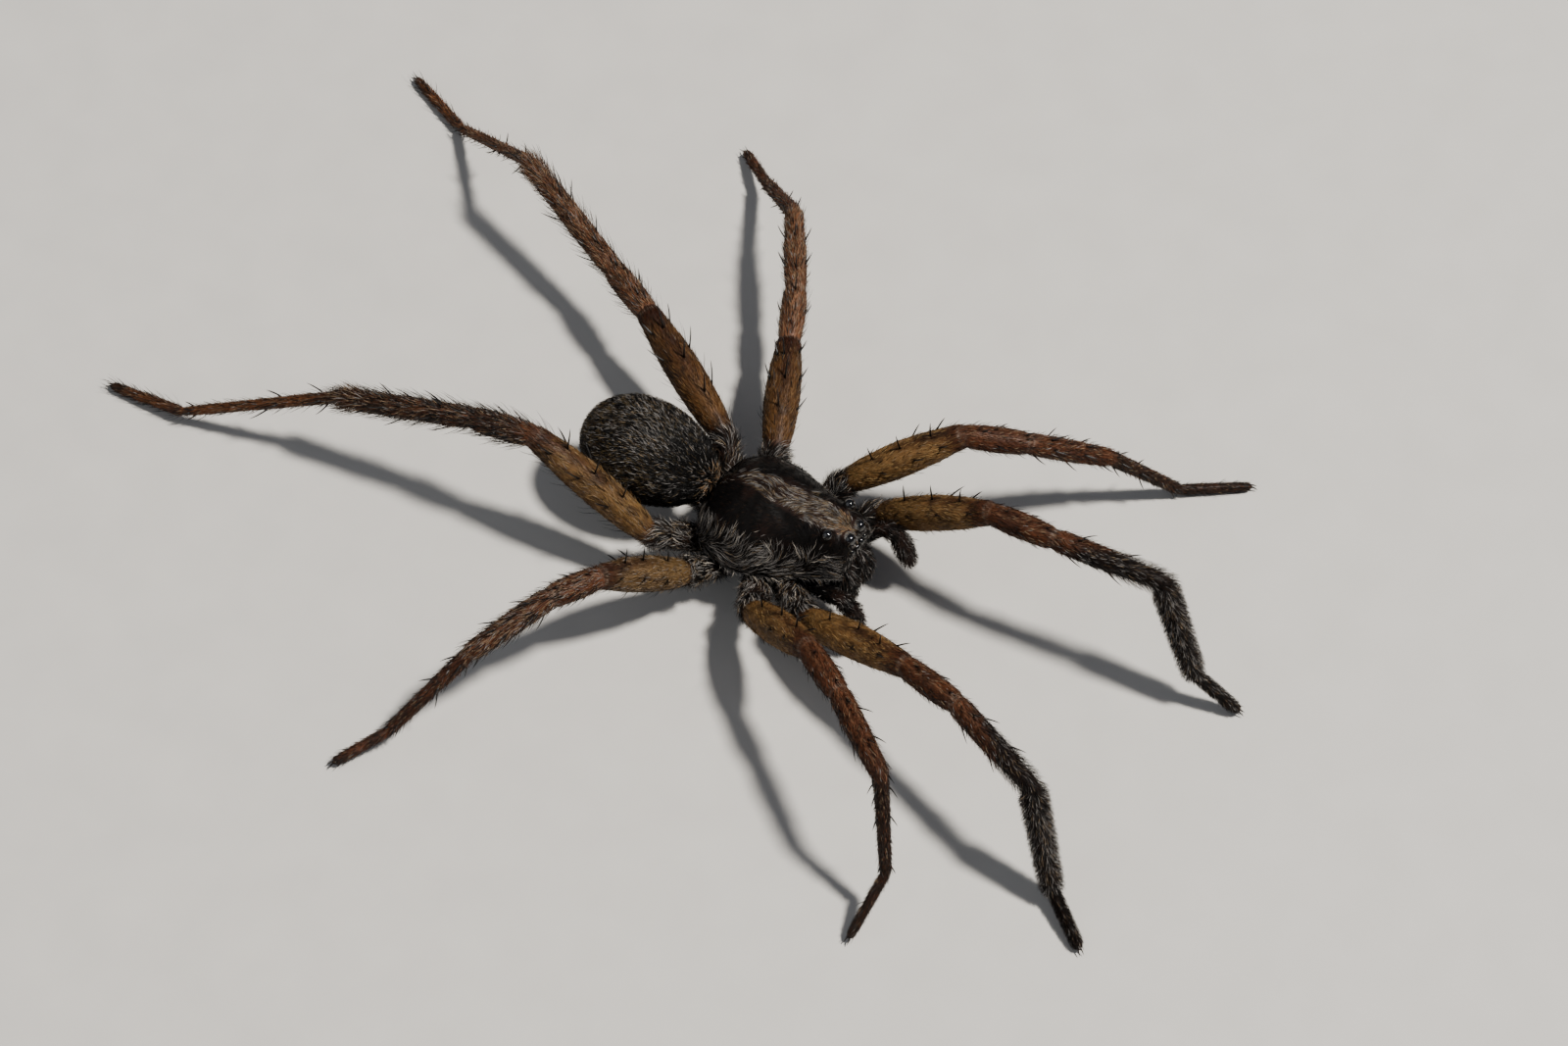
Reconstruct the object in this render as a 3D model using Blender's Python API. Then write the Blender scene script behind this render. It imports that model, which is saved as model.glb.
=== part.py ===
"""Wolf spider standing on level ground, built as one closed solid for each named part of the body.

Metres, +Z up, ground at Z = 0.  The animal faces -Y and its left side is towards +X.  Sizes below are in
millimetres in the body's own frame: lateral (left is +), forward and height.  The solids give the outline
out to the tips of the coat.
"""
import math

import bmesh
import bpy
from mathutils import Vector

MM = 0.001
GAP = 0.04              # space kept between two neighbouring parts of a limb
SMOOTH_ANGLE = math.radians(50)
NEARLY_UPRIGHT = 0.98   # cosine past which an axis counts as upright

# ---- trunk: lateral, forward, height -----------------------------------------------------------------
CLYPEUS_FORWARD = 4.15          # front of the head
THORAX_HALF_WIDTH = 2.62
HEAD_HALF_WIDTH = 1.50
MARGIN_HEIGHT = 2.80            # edge of the carapace above the coxae
UNDERSIDE_HEIGHT = 2.58         # underside of the carapace
STERNUM_HALF_WIDTH, STERNUM_LENGTH, STERNUM_BOTTOM = 1.22, 4.1, 1.22
STERNUM_CENTRE_FORWARD = -0.05
STERNUM_TAPER = 0.10            # how much wider it is in front than in the middle
STERNUM_SIDES = 20
# height, share of the full outline
STERNUM_LEVELS = ((STERNUM_BOTTOM, 0.72), (1.30, 0.90), (1.50, 1.0), (2.20, 0.96), (2.54, 0.92))
ABDOMEN_CENTRE = (0.0, -5.32, 3.68)
ABDOMEN_HALF = (2.20, 2.98, 2.00)
ABDOMEN_BLUNT = 0.08            # its widest place lies behind the middle
ABDOMEN_STATIONS, ABDOMEN_SIDES = 16, 20
WAIST_START, WAIST_HEIGHT, WAIST_RADIUS = -2.05, 2.42, 0.26
WAIST_RINGS = (0.0, 0.32, 0.60)     # distances behind its start
WAIST_SIDES = 10
SPINNERET_BASE = (0.14, -7.45, 2.45)
SPINNERET_ROOT, SPINNERET_LENGTH = 0.55, 0.62       # inside the abdomen, and standing out of it
SPINNERET_PAIRS = ((0.0, 1.0), (0.26, 0.85))        # lift above the base, share of the length
SPINNERET_AXIS = (0.18, -1.0, -0.30)
SPINNERET_SIDES = 8
SPINNERET_PROFILE = ((0.0, 0.22), (0.6, 0.20), (0.92, 0.13), (1.0, 0.07))   # share of the length, radius

# forward station, half width, height of the top, height of the margin, squareness of the section
CARAPACE_STATIONS = (
    (CLYPEUS_FORWARD, 0.88, 4.62, 3.96, 2.4),
    (4.08, 1.12, 4.82, 3.88, 2.6),
    (3.78, 1.32, 5.18, 3.62, 3.0),
    (3.10, HEAD_HALF_WIDTH, 5.44, 3.26, 3.1),
    (2.20, 1.78, 5.40, 2.98, 2.6),
    (1.20, 2.28, 5.36, 2.84, 2.2),
    (0.10, THORAX_HALF_WIDTH, 5.40, MARGIN_HEIGHT, 2.1),
    (-0.75, 2.58, 5.34, MARGIN_HEIGHT, 2.1),
    (-1.60, 2.24, 4.88, MARGIN_HEIGHT, 2.1),
    (-2.15, 1.78, 4.16, MARGIN_HEIGHT, 2.1),
    (-2.42, 1.20, 3.46, MARGIN_HEIGHT, 2.0),
)
CARAPACE_ARC_POINTS = 15
MARGIN_DROP = 0.22              # thickness of the carapace's edge
MARGIN_INSET = 0.90             # the underside is this share of the half width

# eye: lateral, forward, height, radius
EYES = {
    "eye_posterior_median": (0.40, 3.86, 5.10, 0.25),
    "eye_posterior_lateral": (0.88, 3.12, 5.39, 0.22),
    "eye_anterior_median": (0.17, 4.11, 4.52, 0.14),
    "eye_anterior_lateral": (0.48, 4.07, 4.50, 0.12),
}
EYE_SOCKET_GAP = 0.02
EYE_SUBDIVISIONS = 2

# ---- legs, by pair -----------------------------------------------------------------------------------
COXA_INNER = {1: (1.30, 1.62, 1.76), 2: (1.48, 0.58, 1.67), 3: (1.48, -0.66, 1.67), 4: (1.18, -1.78, 1.80)}
HIPS = {1: (2.97, 3.58, 2.60), 2: (3.74, 1.61, 2.50), 3: (3.56, -1.55, 2.53), 4: (2.88, -3.64, 2.88)}
LEG_LENGTHS = {             # femur, patella, tibia, metatarsus, tarsus
    1: (5.9, 2.8, 4.6, 4.95, 2.65),
    2: (5.5, 2.6, 4.2, 4.45, 3.0),
    3: (5.0, 2.3, 3.8, 4.7, 2.5),
    4: (6.0, 2.75, 5.8, 7.3, 3.3),
}
LEG_GIRTH = {1: 1.0, 2: 1.0, 3: 1.03, 4: 0.98}
METATARSUS_GIRTH = {1: 1.5, 2: 1.0, 3: 1.0, 4: 1.0}     # the first pair carries a dense brush
TARSUS_GIRTH = {1: 1.15, 2: 1.0, 3: 1.0, 4: 1.0}
SOLE_HEIGHT = 0.27          # the tarsus axis ends this far above the ground

# degrees: spread forward of straight out; rise of femur, patella, tibia and metatarsus; how far the leg
# turns forward again at the tibia, metatarsus and tarsus.  The tarsus's own fall comes from the ground.
STANCE = {
    (1, "right"): (73, 26, 11, -4, -67, -4, -3, -12),
    (2, "right"): (56, 37, 10, 3, -66, -4, -7, -53),
    (3, "right"): (-26, 34, 9, -22, -44, -4, -3, 0),
    (4, "right"): (-85, 32, -10, -15, -28, 5, 6, -13),
    (1, "left"): (91, 38, 9, -2, -67, -8, 9, -15),
    (2, "left"): (61, 38, -7, -30, -44, -17, 1, 8),
    (3, "left"): (-24, 7, 14, 2, -35, -7, -14, -4),
    (4, "left"): (-61, 10, -5, 11, -37, -7, 10, -8),
}

# radius at the start, radius at the end, swelling between them
COXA_SHAPE = (0.50, 0.60, 0.08)
FEMUR_SHAPE = (0.60, 0.54, 0.20)
PATELLA_SHAPE = (0.52, 0.49, 0.07)
TIBIA_SHAPE = (0.48, 0.40, 0.06)
METATARSUS_SHAPE = (0.32, 0.25, 0.02)
TARSUS_SHAPE = (0.25, 0.24, 0.01)
RING_INSET = 0.45           # first full ring from a joint
PAD_LENGTH = 0.40
SOLE_POINTS = 3             # points of a ring that touch the ground
CLAW_REACH, CLAW_LIFT, CLAW_GIRTH = 0.12, 0.02, 0.55     # the blunt end past the sole
LEG_SIDES, FOOT_SIDES = 12, 10

# ---- palps, by side: base, end of femur, end of patella, tip -------------------------------------------
PALPS = {
    "left": ((1.27, 2.98, 2.30), (1.90, 4.18, 3.38), (2.02, 4.82, 3.30), (1.94, 5.60, 1.95)),
    "right": ((-1.27, 2.98, 2.30), (-1.72, 4.30, 3.02), (-1.80, 4.98, 2.88), (-1.80, 5.28, 1.15)),
}
PALP_FEMUR_SHAPE = (0.27, 0.33, 0.07)
PALP_PATELLA_SHAPE = (0.32, 0.31, 0.03)
PALP_TIP_SHAPE = (0.31, 0.20, 0.10)
PALP_TIP_RINGS = (0.25, 0.5, 0.75, 0.93)
PALP_SIDES = 10
PALP_FEMUR_INSET, PALP_PATELLA_INSET = 0.3, 0.2

# ---- lip and chewing lobes: centre and half sizes --------------------------------------------------------
LIP = ((0.0, 2.45, 1.52), (0.36, 0.36, 0.24))
LOBE = ((0.46, 2.68, 1.74), (0.32, 0.50, 0.40))
MOUTH_ORIGIN = (0.0, 2.6, 1.6)
MOUTH_STATIONS, MOUTH_SIDES = 6, 10

# ---- chelicerae: centre line of the left one, with its radius at each point ---------------------------
CHELICERA_LINE = (
    ((0.55, 3.60, 3.26), 0.44), ((0.56, 3.84, 2.92), 0.50), ((0.56, 3.98, 2.40), 0.50),
    ((0.53, 4.00, 1.85), 0.40), ((0.52, 3.98, 1.56), 0.24), ((0.46, 3.90, 1.36), 0.13),
    ((0.33, 3.78, 1.26), 0.10), ((0.20, 3.64, 1.26), 0.06),
)
CHELICERA_DEPTH = 1.18      # front to back against side to side
CHELICERA_SIDES = 12
CLYPEUS_SLOPE = Vector((0.0, -0.45, -1.0)).normalized()      # the jaw meets the sloping underside

COLOURS = {                 # base colour, roughness
    "carapace": ((0.030, 0.022, 0.018), 0.35),
    "abdomen": ((0.045, 0.038, 0.032), 0.70),
    "underside": ((0.030, 0.024, 0.020), 0.60),
    "coxa": ((0.060, 0.045, 0.036), 0.60),
    "femur": ((0.260, 0.140, 0.045), 0.50),
    "patella": ((0.140, 0.060, 0.026), 0.50),
    "tibia": ((0.120, 0.050, 0.024), 0.50),
    "foot": ((0.070, 0.034, 0.022), 0.60),
    "palp": ((0.040, 0.030, 0.026), 0.60),
    "chelicera": ((0.020, 0.016, 0.014), 0.35),
    "eye": ((0.004, 0.004, 0.005), 0.05),
}


def place(lateral, forward, height):
    """A point of the body frame, in the world's millimetres."""
    return Vector((lateral, -forward, height))


def empty(name, position, parent=None):
    """An empty at a world position, as the parent of what grows there."""
    holder = bpy.data.objects.new(name, None)
    bpy.context.scene.collection.objects.link(holder)
    holder.location = position * MM
    if parent:
        holder.parent = parent
        holder.location = position * MM - parent.location
    return holder


def add_object(name, bm, kind, origin, parent):
    """The object of a bmesh in millimetres, with its origin at a point and a material of its own."""
    bmesh.ops.recalc_face_normals(bm, faces=bm.faces)
    mesh = bpy.data.meshes.new(name)
    bm.to_mesh(mesh)
    bm.free()
    for vertex in mesh.vertices:
        vertex.co = (vertex.co - origin) * MM
    mesh.shade_smooth()
    mesh.set_sharp_from_angle(angle=SMOOTH_ANGLE)
    colour, roughness = COLOURS[kind]
    material = bpy.data.materials.new(name)
    material.use_nodes = True
    shader = material.node_tree.nodes["Principled BSDF"]
    shader.inputs["Base Color"].default_value = (*colour, 1.0)
    shader.inputs["Roughness"].default_value = roughness
    shader.inputs["Metallic"].default_value = 0.0
    mesh.materials.append(material)
    body = bpy.data.objects.new(name, mesh)
    bpy.context.scene.collection.objects.link(body)
    body.parent = parent
    body.location = origin * MM - (parent.location if parent.parent else Vector())
    return body


def loft(rings):
    """A closed body through rings of equally many points, each end covered by a flat cap."""
    bm = bmesh.new()
    rows = [[bm.verts.new(point) for point in ring] for ring in rings]
    count = len(rows[0])
    for row, following in zip(rows, rows[1:]):
        for i in range(count):
            j = (i + 1) % count
            bm.faces.new((row[i], row[j], following[j], following[i]))
    bm.faces.new(rows[0])
    bm.faces.new(rows[-1])
    return bm


def swelling(shape, girth=1.0):
    """Radius along a limb part as a function of the share of its length."""
    start, end, bulge = shape
    return lambda share: girth * (start + (end - start) * share + bulge * math.sin(math.pi * share))


def ring(centre, axis, normal, radius, sides):
    """Points round an axis, cut by the plane with this normal; the first is on the upper side."""
    up = Vector((0.0, 0.0, 1.0))
    if abs(axis.dot(up)) > NEARLY_UPRIGHT:
        up = Vector((0.0, -1.0, 0.0))
    dorsal = (up - axis * axis.dot(up)).normalized()
    side = dorsal.cross(axis)
    points = []
    for i in range(sides):
        turn = 2.0 * math.pi * i / sides
        spoke = (side * math.sin(turn) + dorsal * math.cos(turn)) * radius
        spoke -= axis * (spoke.dot(normal) / axis.dot(normal))
        points.append(centre + spoke)
    return points


def straight_rings(start, end, first_normal, last_normal, radius_at, sides, mids, inset=RING_INSET):
    """Rings along one straight limb part, mitred at both ends."""
    axis = (end - start).normalized()
    length = (end - start).length
    stops = [0.0, inset / length]
    stops += [inset / length + (1.0 - 2.0 * inset / length) * (k + 1) / (mids + 1) for k in range(mids)]
    stops += [1.0 - inset / length, 1.0]
    normals = [first_normal] + [axis] * (len(stops) - 2) + [last_normal]
    return [ring(start.lerp(end, s), axis, n, radius_at(s), sides) for s, n in zip(stops, normals)]


def bisector(before, joint, after):
    """Normal of the plane that halves the bend at a joint."""
    return ((joint - before).normalized() + (after - joint).normalized()).normalized()


def shortened(start, end, at_start=GAP / 2, at_end=GAP / 2):
    """The two ends of a limb part, drawn back from its joints."""
    axis = (end - start).normalized()
    return start + axis * at_start, end - axis * at_end


def leg_joints(pair, side):
    """Coxa base, hip, the joints of a leg and its tip, in world millimetres."""
    spread, *rises = STANCE[pair, side][:5]
    tibia_turn, metatarsus_turn, tarsus_turn = STANCE[pair, side][5:]
    heading = [spread, spread, spread + tibia_turn, spread + tibia_turn + metatarsus_turn]
    point = Vector(HIPS[pair])
    joints = [Vector(COXA_INNER[pair]), point]
    for length, rise, turn in zip(LEG_LENGTHS[pair], map(math.radians, rises), map(math.radians, heading)):
        flat = length * math.cos(rise)
        point = point + Vector((flat * math.cos(turn), flat * math.sin(turn), length * math.sin(rise)))
        joints.append(point)
    fall = point.z - SOLE_HEIGHT
    flat = math.sqrt(LEG_LENGTHS[pair][-1] ** 2 - fall ** 2)
    turn = math.radians(heading[-1] + tarsus_turn)
    joints.append(point + Vector((flat * math.cos(turn), flat * math.sin(turn), -fall)))
    sign = 1.0 if side == "left" else -1.0
    return [place(sign * joint.x, joint.y, joint.z) for joint in joints]


def flatten_sole(points):
    """Bring the lowest points of a ring down to the ground."""
    for point in sorted(points, key=lambda p: p.z)[:SOLE_POINTS]:
        point.z = 0.0
    return points


def foot_rings(start, ankle, tip, first_normal, pair):
    """Rings of metatarsus and tarsus, with a small flat sole under the tip."""
    kink = bisector(start, ankle, tip)
    radius_at = swelling(METATARSUS_SHAPE, METATARSUS_GIRTH[pair])
    rings = straight_rings(start, ankle, first_normal, kink, radius_at, FOOT_SIDES, 1)
    radius_at = swelling(TARSUS_SHAPE, TARSUS_GIRTH[pair])
    axis = (tip - ankle).normalized()
    length = (tip - ankle).length
    for distance in (RING_INSET, length / 2):
        rings.append(ring(ankle + axis * distance, axis, axis, radius_at(distance / length), FOOT_SIDES))
    level = Vector((axis.x, axis.y, 0.0)).normalized()
    for distance in (length - PAD_LENGTH, length):
        rings.append(flatten_sole(ring(ankle + axis * distance, axis, level, radius_at(1.0), FOOT_SIDES)))
    nose = tip + level * CLAW_REACH + Vector((0.0, 0.0, CLAW_LIFT))
    rings.append(ring(nose, level, level, radius_at(1.0) * CLAW_GIRTH, FOOT_SIDES))
    return rings


def make_leg(pair, side, root):
    """Coxa, femur, patella, tibia and foot of one leg."""
    joints = leg_joints(pair, side)
    girth = LEG_GIRTH[pair]
    parent = empty(f"leg_{pair}_{side}", joints[1], root)
    normals = [(joints[1] - joints[0]).normalized()]
    normals += [bisector(*joints[i - 1:i + 2]) for i in range(1, len(joints) - 1)]
    plan = (("coxa", COXA_SHAPE, 1), ("femur", FEMUR_SHAPE, 3),
            ("patella", PATELLA_SHAPE, 1), ("tibia", TIBIA_SHAPE, 2))
    for i, (part, shape, mids) in enumerate(plan):
        ends = shortened(joints[i], joints[i + 1])
        rings = straight_rings(*ends, normals[i], normals[i + 1], swelling(shape, girth), LEG_SIDES, mids)
        add_object(f"leg_{pair}_{side}_{part}", loft(rings), part, joints[i], parent)
    start, _ = shortened(joints[4], joints[5])
    rings = foot_rings(start, joints[5], joints[6], normals[4], pair)
    add_object(f"leg_{pair}_{side}_foot", loft(rings), "foot", joints[4], parent)


def make_palp(side, root):
    """The short leg beside the mouth: its femur, and patella to tip in one piece."""
    base, knee, wrist, tip = (place(*point) for point in PALPS[side])
    knee_plane = bisector(base, knee, wrist)
    axis = (knee - base).normalized()
    ends = shortened(base, knee)
    radius_at = swelling(PALP_FEMUR_SHAPE)
    rings = straight_rings(*ends, axis, knee_plane, radius_at, PALP_SIDES, 1, PALP_FEMUR_INSET)
    add_object(f"palp_{side}_femur", loft(rings), "palp", base, root)
    start, _ = shortened(knee, wrist)
    kink = bisector(knee, wrist, tip)
    radius_at = swelling(PALP_PATELLA_SHAPE)
    rings = straight_rings(start, wrist, knee_plane, kink, radius_at, PALP_SIDES, 0, PALP_PATELLA_INSET)
    axis = (tip - wrist).normalized()
    radius_at = swelling(PALP_TIP_SHAPE)
    length = (tip - wrist).length
    for share in PALP_TIP_RINGS:
        rings.append(ring(wrist + axis * length * share, axis, axis, radius_at(share), PALP_SIDES))
    rings.append(ring(tip, axis, axis, radius_at(1.0) / 2, PALP_SIDES))
    add_object(f"palp_{side}_tip", loft(rings), "palp", knee, root)


def carapace_section(forward, half_width, top, margin, squareness):
    """One cross section: a square-shouldered arch over a thin upright edge and a flat underside."""
    points = []
    for i in range(CARAPACE_ARC_POINTS):
        turn = math.pi * (i / (CARAPACE_ARC_POINTS - 1) - 0.5)
        across = math.copysign(abs(math.sin(turn)) ** (2.0 / squareness), turn)
        above = math.cos(turn) ** (2.0 / squareness)
        points.append(place(half_width * across, forward, margin + (top - margin) * above))
    lowest = max(margin - MARGIN_DROP, UNDERSIDE_HEIGHT)
    for sign in (1.0, -1.0):
        points.append(place(sign * half_width * MARGIN_INSET, forward, lowest))
    return points


def make_carapace(root):
    """The plate over the forebody, with a socket for each eye."""
    rings = [carapace_section(*station) for station in CARAPACE_STATIONS]
    return add_object("carapace", loft(rings), "carapace", place(0.0, 0.0, MARGIN_HEIGHT), root)


def make_eyes(carapace, root):
    """Four pairs of eyes, each seated in a socket cut a little wider than the eye."""
    for name, (lateral, forward, height, radius) in EYES.items():
        for side, sign in (("left", 1.0), ("right", -1.0)):
            centre = place(sign * lateral, forward, height)
            bm = bmesh.new()
            bmesh.ops.create_icosphere(bm, subdivisions=EYE_SUBDIVISIONS, radius=radius)
            bmesh.ops.translate(bm, verts=bm.verts, vec=centre)
            add_object(f"{name}_{side}", bm, "eye", centre, root)
            bm = bmesh.new()
            bmesh.ops.create_icosphere(bm, subdivisions=EYE_SUBDIVISIONS, radius=radius + EYE_SOCKET_GAP)
            bmesh.ops.translate(bm, verts=bm.verts, vec=centre)
            cutter = add_object(f"socket_{name}_{side}", bm, "eye", centre, root)
            hide_helper(cutter)
            join(carapace, cutter, "DIFFERENCE")


def hide_helper(helper):
    """Keep a cutter or a united piece out of the finished model."""
    helper.hide_render = True
    helper.display_type = "WIRE"


def join(body, helper, operation):
    """A Boolean between a body and a helper object."""
    boolean = body.modifiers.new(helper.name, "BOOLEAN")
    boolean.operation = operation
    boolean.solver = "EXACT"
    boolean.object = helper


def ovoid(centre, half, stations, sides, blunt=0.0):
    """An egg along the forward axis; blunt shifts its widest place to the rear."""
    rings = []
    for i in range(1, stations):
        turn = math.pi * i / stations
        forward = centre[1] + half[1] * math.cos(turn)
        swell = math.sin(turn) * (1.0 - blunt * math.cos(turn))
        rings.append([place(centre[0] + half[0] * swell * math.sin(2 * math.pi * k / sides), forward,
                            centre[2] + half[2] * swell * math.cos(2 * math.pi * k / sides))
                      for k in range(sides)])
    return loft(rings)


def make_abdomen(root):
    """The hind body and the narrow waist before it."""
    body = ovoid(ABDOMEN_CENTRE, ABDOMEN_HALF, ABDOMEN_STATIONS, ABDOMEN_SIDES, blunt=ABDOMEN_BLUNT)
    add_object("abdomen", body, "abdomen", place(*ABDOMEN_CENTRE), root)
    backward = Vector((0.0, 1.0, 0.0))
    start = place(0.0, WAIST_START, WAIST_HEIGHT)
    waist = [ring(start + backward * distance, backward, backward, WAIST_RADIUS, WAIST_SIDES)
             for distance in WAIST_RINGS]
    add_object("pedicel", loft(waist), "underside", start, root)


def make_spinnerets(root):
    """Two pairs of short cones in one piece, seated on the lower rear of the abdomen."""
    lateral, forward, height = SPINNERET_BASE
    origin = place(0.0, forward, height)
    cones = []
    for lift, share_of_length in SPINNERET_PAIRS:
        length = SPINNERET_ROOT + SPINNERET_LENGTH * share_of_length
        for sign in (1.0, -1.0):
            start = place(sign * lateral, forward, height + lift)
            axis = place(sign * SPINNERET_AXIS[0], *SPINNERET_AXIS[1:]).normalized()
            cones.append(loft([ring(start + axis * length * share, axis, axis, radius, SPINNERET_SIDES)
                               for share, radius in SPINNERET_PROFILE]))
    body = add_object("spinnerets", cones[0], "abdomen", origin, root)
    for i, cone in enumerate(cones[1:]):
        helper = add_object(f"spinneret_helper_{i}", cone, "abdomen", origin, root)
        hide_helper(helper)
        join(body, helper, "UNION")
    grown = [half + GAP for half in ABDOMEN_HALF]
    bed = ovoid(ABDOMEN_CENTRE, grown, ABDOMEN_STATIONS, ABDOMEN_SIDES, blunt=ABDOMEN_BLUNT)
    cutter = add_object("spinneret_bed", bed, "abdomen", place(*ABDOMEN_CENTRE), root)
    hide_helper(cutter)
    join(body, cutter, "DIFFERENCE")


def make_sternum(root):
    """The shield between the coxae and the body above it, up to the carapace."""
    rings = []
    for height, scale in STERNUM_LEVELS:
        points = []
        for i in range(STERNUM_SIDES):
            turn = 2.0 * math.pi * i / STERNUM_SIDES
            taper = 1.0 + STERNUM_TAPER * math.sin(turn)
            forward = STERNUM_CENTRE_FORWARD + STERNUM_LENGTH / 2 * scale * math.sin(turn)
            points.append(place(STERNUM_HALF_WIDTH * scale * taper * math.cos(turn), forward, height))
        rings.append(points)
    add_object("sternum", loft(rings), "underside", place(0.0, 0.0, STERNUM_BOTTOM), root)


def make_mouthparts(root):
    """The lip and the two chewing lobes between the palps."""
    origin = place(*MOUTH_ORIGIN)
    lip = ovoid(*LIP, MOUTH_STATIONS, MOUTH_SIDES)
    body = add_object("mouthparts", lip, "underside", origin, root)
    (lateral, forward, height), half = LOBE
    for side, sign in (("left", 1.0), ("right", -1.0)):
        lobe = ovoid((sign * lateral, forward, height), half, MOUTH_STATIONS, MOUTH_SIDES)
        helper = add_object(f"lobe_helper_{side}", lobe, "underside", origin, root)
        hide_helper(helper)
        join(body, helper, "UNION")


def make_chelicera(side, root):
    """One jaw, with its fang folded inwards below."""
    sign = 1.0 if side == "left" else -1.0
    points = [place(sign * lateral, forward, height) for (lateral, forward, height), _ in CHELICERA_LINE]
    radii = [radius for _, radius in CHELICERA_LINE]
    rings = []
    for i, (point, radius) in enumerate(zip(points, radii)):
        axis = (points[min(i + 1, len(points) - 1)] - points[max(i - 1, 0)]).normalized()
        normal = CLYPEUS_SLOPE if i == 0 else axis
        rings.append(jaw_ring(point, axis, normal, radius))
    add_object(f"chelicera_{side}", loft(rings), "chelicera", points[0], root)


def jaw_ring(centre, axis, normal, radius):
    """A ring round a jaw, deeper than it is wide."""
    front = Vector((0.0, -1.0, 0.0))
    deep = (front - axis * axis.dot(front)).normalized()
    across = deep.cross(axis)
    points = []
    for i in range(CHELICERA_SIDES):
        turn = 2.0 * math.pi * i / CHELICERA_SIDES
        spoke = (across * math.sin(turn) + deep * math.cos(turn) * CHELICERA_DEPTH) * radius
        points.append(centre + spoke - axis * (spoke.dot(normal) / axis.dot(normal)))
    return points


def centre_on_ground(root):
    """Move the whole animal so that its box stands centred on the origin."""
    bpy.context.view_layer.update()
    corners = [body.matrix_world @ vertex.co for body in bpy.context.scene.objects
               if body.type == "MESH" and not body.hide_render for vertex in body.data.vertices]
    low = [min(corner[axis] for corner in corners) for axis in range(3)]
    high = [max(corner[axis] for corner in corners) for axis in range(3)]
    root.location = (-(low[0] + high[0]) / 2, -(low[1] + high[1]) / 2, -low[2])


def main():
    for leftover in list(bpy.data.objects):
        bpy.data.objects.remove(leftover, do_unlink=True)
    root = empty("spider", Vector())
    carapace = make_carapace(root)
    make_eyes(carapace, root)
    make_abdomen(root)
    make_spinnerets(root)
    make_sternum(root)
    make_mouthparts(root)
    for side in ("left", "right"):
        make_chelicera(side, root)
        make_palp(side, root)
        for pair in HIPS:
            make_leg(pair, side, root)
    centre_on_ground(root)


main()
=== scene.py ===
"""Looks of the wolf spider: one skin under a coat of meshed hair, the carapace, jaws, eyes, claws and spines.

Shapes are worked out in millimetres with the animal facing -Y and its left side towards +X, then moved into
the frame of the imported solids.
"""
import itertools
import math
from types import SimpleNamespace

import bmesh
import bpy
import numpy as np
from mathutils import Matrix, Vector
from mathutils.kdtree import KDTree


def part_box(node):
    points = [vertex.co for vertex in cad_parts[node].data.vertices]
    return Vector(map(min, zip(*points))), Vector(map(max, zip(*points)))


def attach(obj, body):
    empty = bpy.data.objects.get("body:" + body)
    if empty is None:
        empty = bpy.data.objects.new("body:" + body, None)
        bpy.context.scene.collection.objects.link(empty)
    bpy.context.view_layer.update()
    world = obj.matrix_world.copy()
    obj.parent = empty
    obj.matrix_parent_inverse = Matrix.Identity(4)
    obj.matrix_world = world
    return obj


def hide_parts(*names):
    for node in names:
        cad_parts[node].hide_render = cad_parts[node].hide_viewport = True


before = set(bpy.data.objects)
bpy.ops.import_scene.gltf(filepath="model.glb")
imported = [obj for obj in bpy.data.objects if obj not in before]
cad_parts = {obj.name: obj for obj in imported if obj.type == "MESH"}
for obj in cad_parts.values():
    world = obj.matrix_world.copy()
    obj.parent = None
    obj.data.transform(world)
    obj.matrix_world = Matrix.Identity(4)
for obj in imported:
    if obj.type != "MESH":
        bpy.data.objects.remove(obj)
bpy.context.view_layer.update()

MM = 0.001
RNG = np.random.default_rng(41)
HAIR_SHARE = 1.0

# ---- body plan, as in the solids: lateral, forward, height in millimetres ----
ABDOMEN_CENTRE, ABDOMEN_HALF, ABDOMEN_BLUNT = (0.0, -5.32, 3.68), (2.20, 2.98, 2.00), 0.08
ABDOMEN_SKIN_HALF = np.array(ABDOMEN_HALF) - 0.13      # the skin lies this far under the tips of the coat
CARAPACE_STATIONS = (       # forward, half width, top, margin, squareness
    (-2.42, 1.20, 3.46, 2.80, 2.0), (-2.15, 1.78, 4.16, 2.80, 2.1), (-1.60, 2.24, 4.88, 2.80, 2.1),
    (-0.75, 2.58, 5.34, 2.80, 2.1), (0.10, 2.62, 5.40, 2.80, 2.1), (1.20, 2.28, 5.36, 2.84, 2.2),
    (2.20, 1.78, 5.40, 2.98, 2.6), (3.10, 1.50, 5.44, 3.26, 3.1), (3.78, 1.32, 5.18, 3.62, 3.0),
    (4.08, 1.12, 4.82, 3.88, 2.6), (4.15, 0.88, 4.62, 3.96, 2.4),
)
EYES = {                    # lateral, forward, height, radius
    "posterior_median": (0.40, 3.86, 5.10, 0.25), "posterior_lateral": (0.88, 3.12, 5.39, 0.22),
    "anterior_median": (0.17, 4.11, 4.52, 0.14), "anterior_lateral": (0.48, 4.07, 4.50, 0.12),
}
COXA_INNER = {1: (1.30, 1.62, 1.76), 2: (1.48, 0.58, 1.67), 3: (1.48, -0.66, 1.67), 4: (1.18, -1.78, 1.80)}
HIPS = {1: (2.97, 3.58, 2.60), 2: (3.74, 1.61, 2.50), 3: (3.56, -1.55, 2.53), 4: (2.88, -3.64, 2.88)}
LEG_LENGTHS = {1: (5.9, 2.8, 4.6, 4.95, 2.65), 2: (5.5, 2.6, 4.2, 4.45, 3.0),
               3: (5.0, 2.3, 3.8, 4.7, 2.5), 4: (6.0, 2.75, 5.8, 7.3, 3.3)}
SOLE_HEIGHT = 0.27
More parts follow.
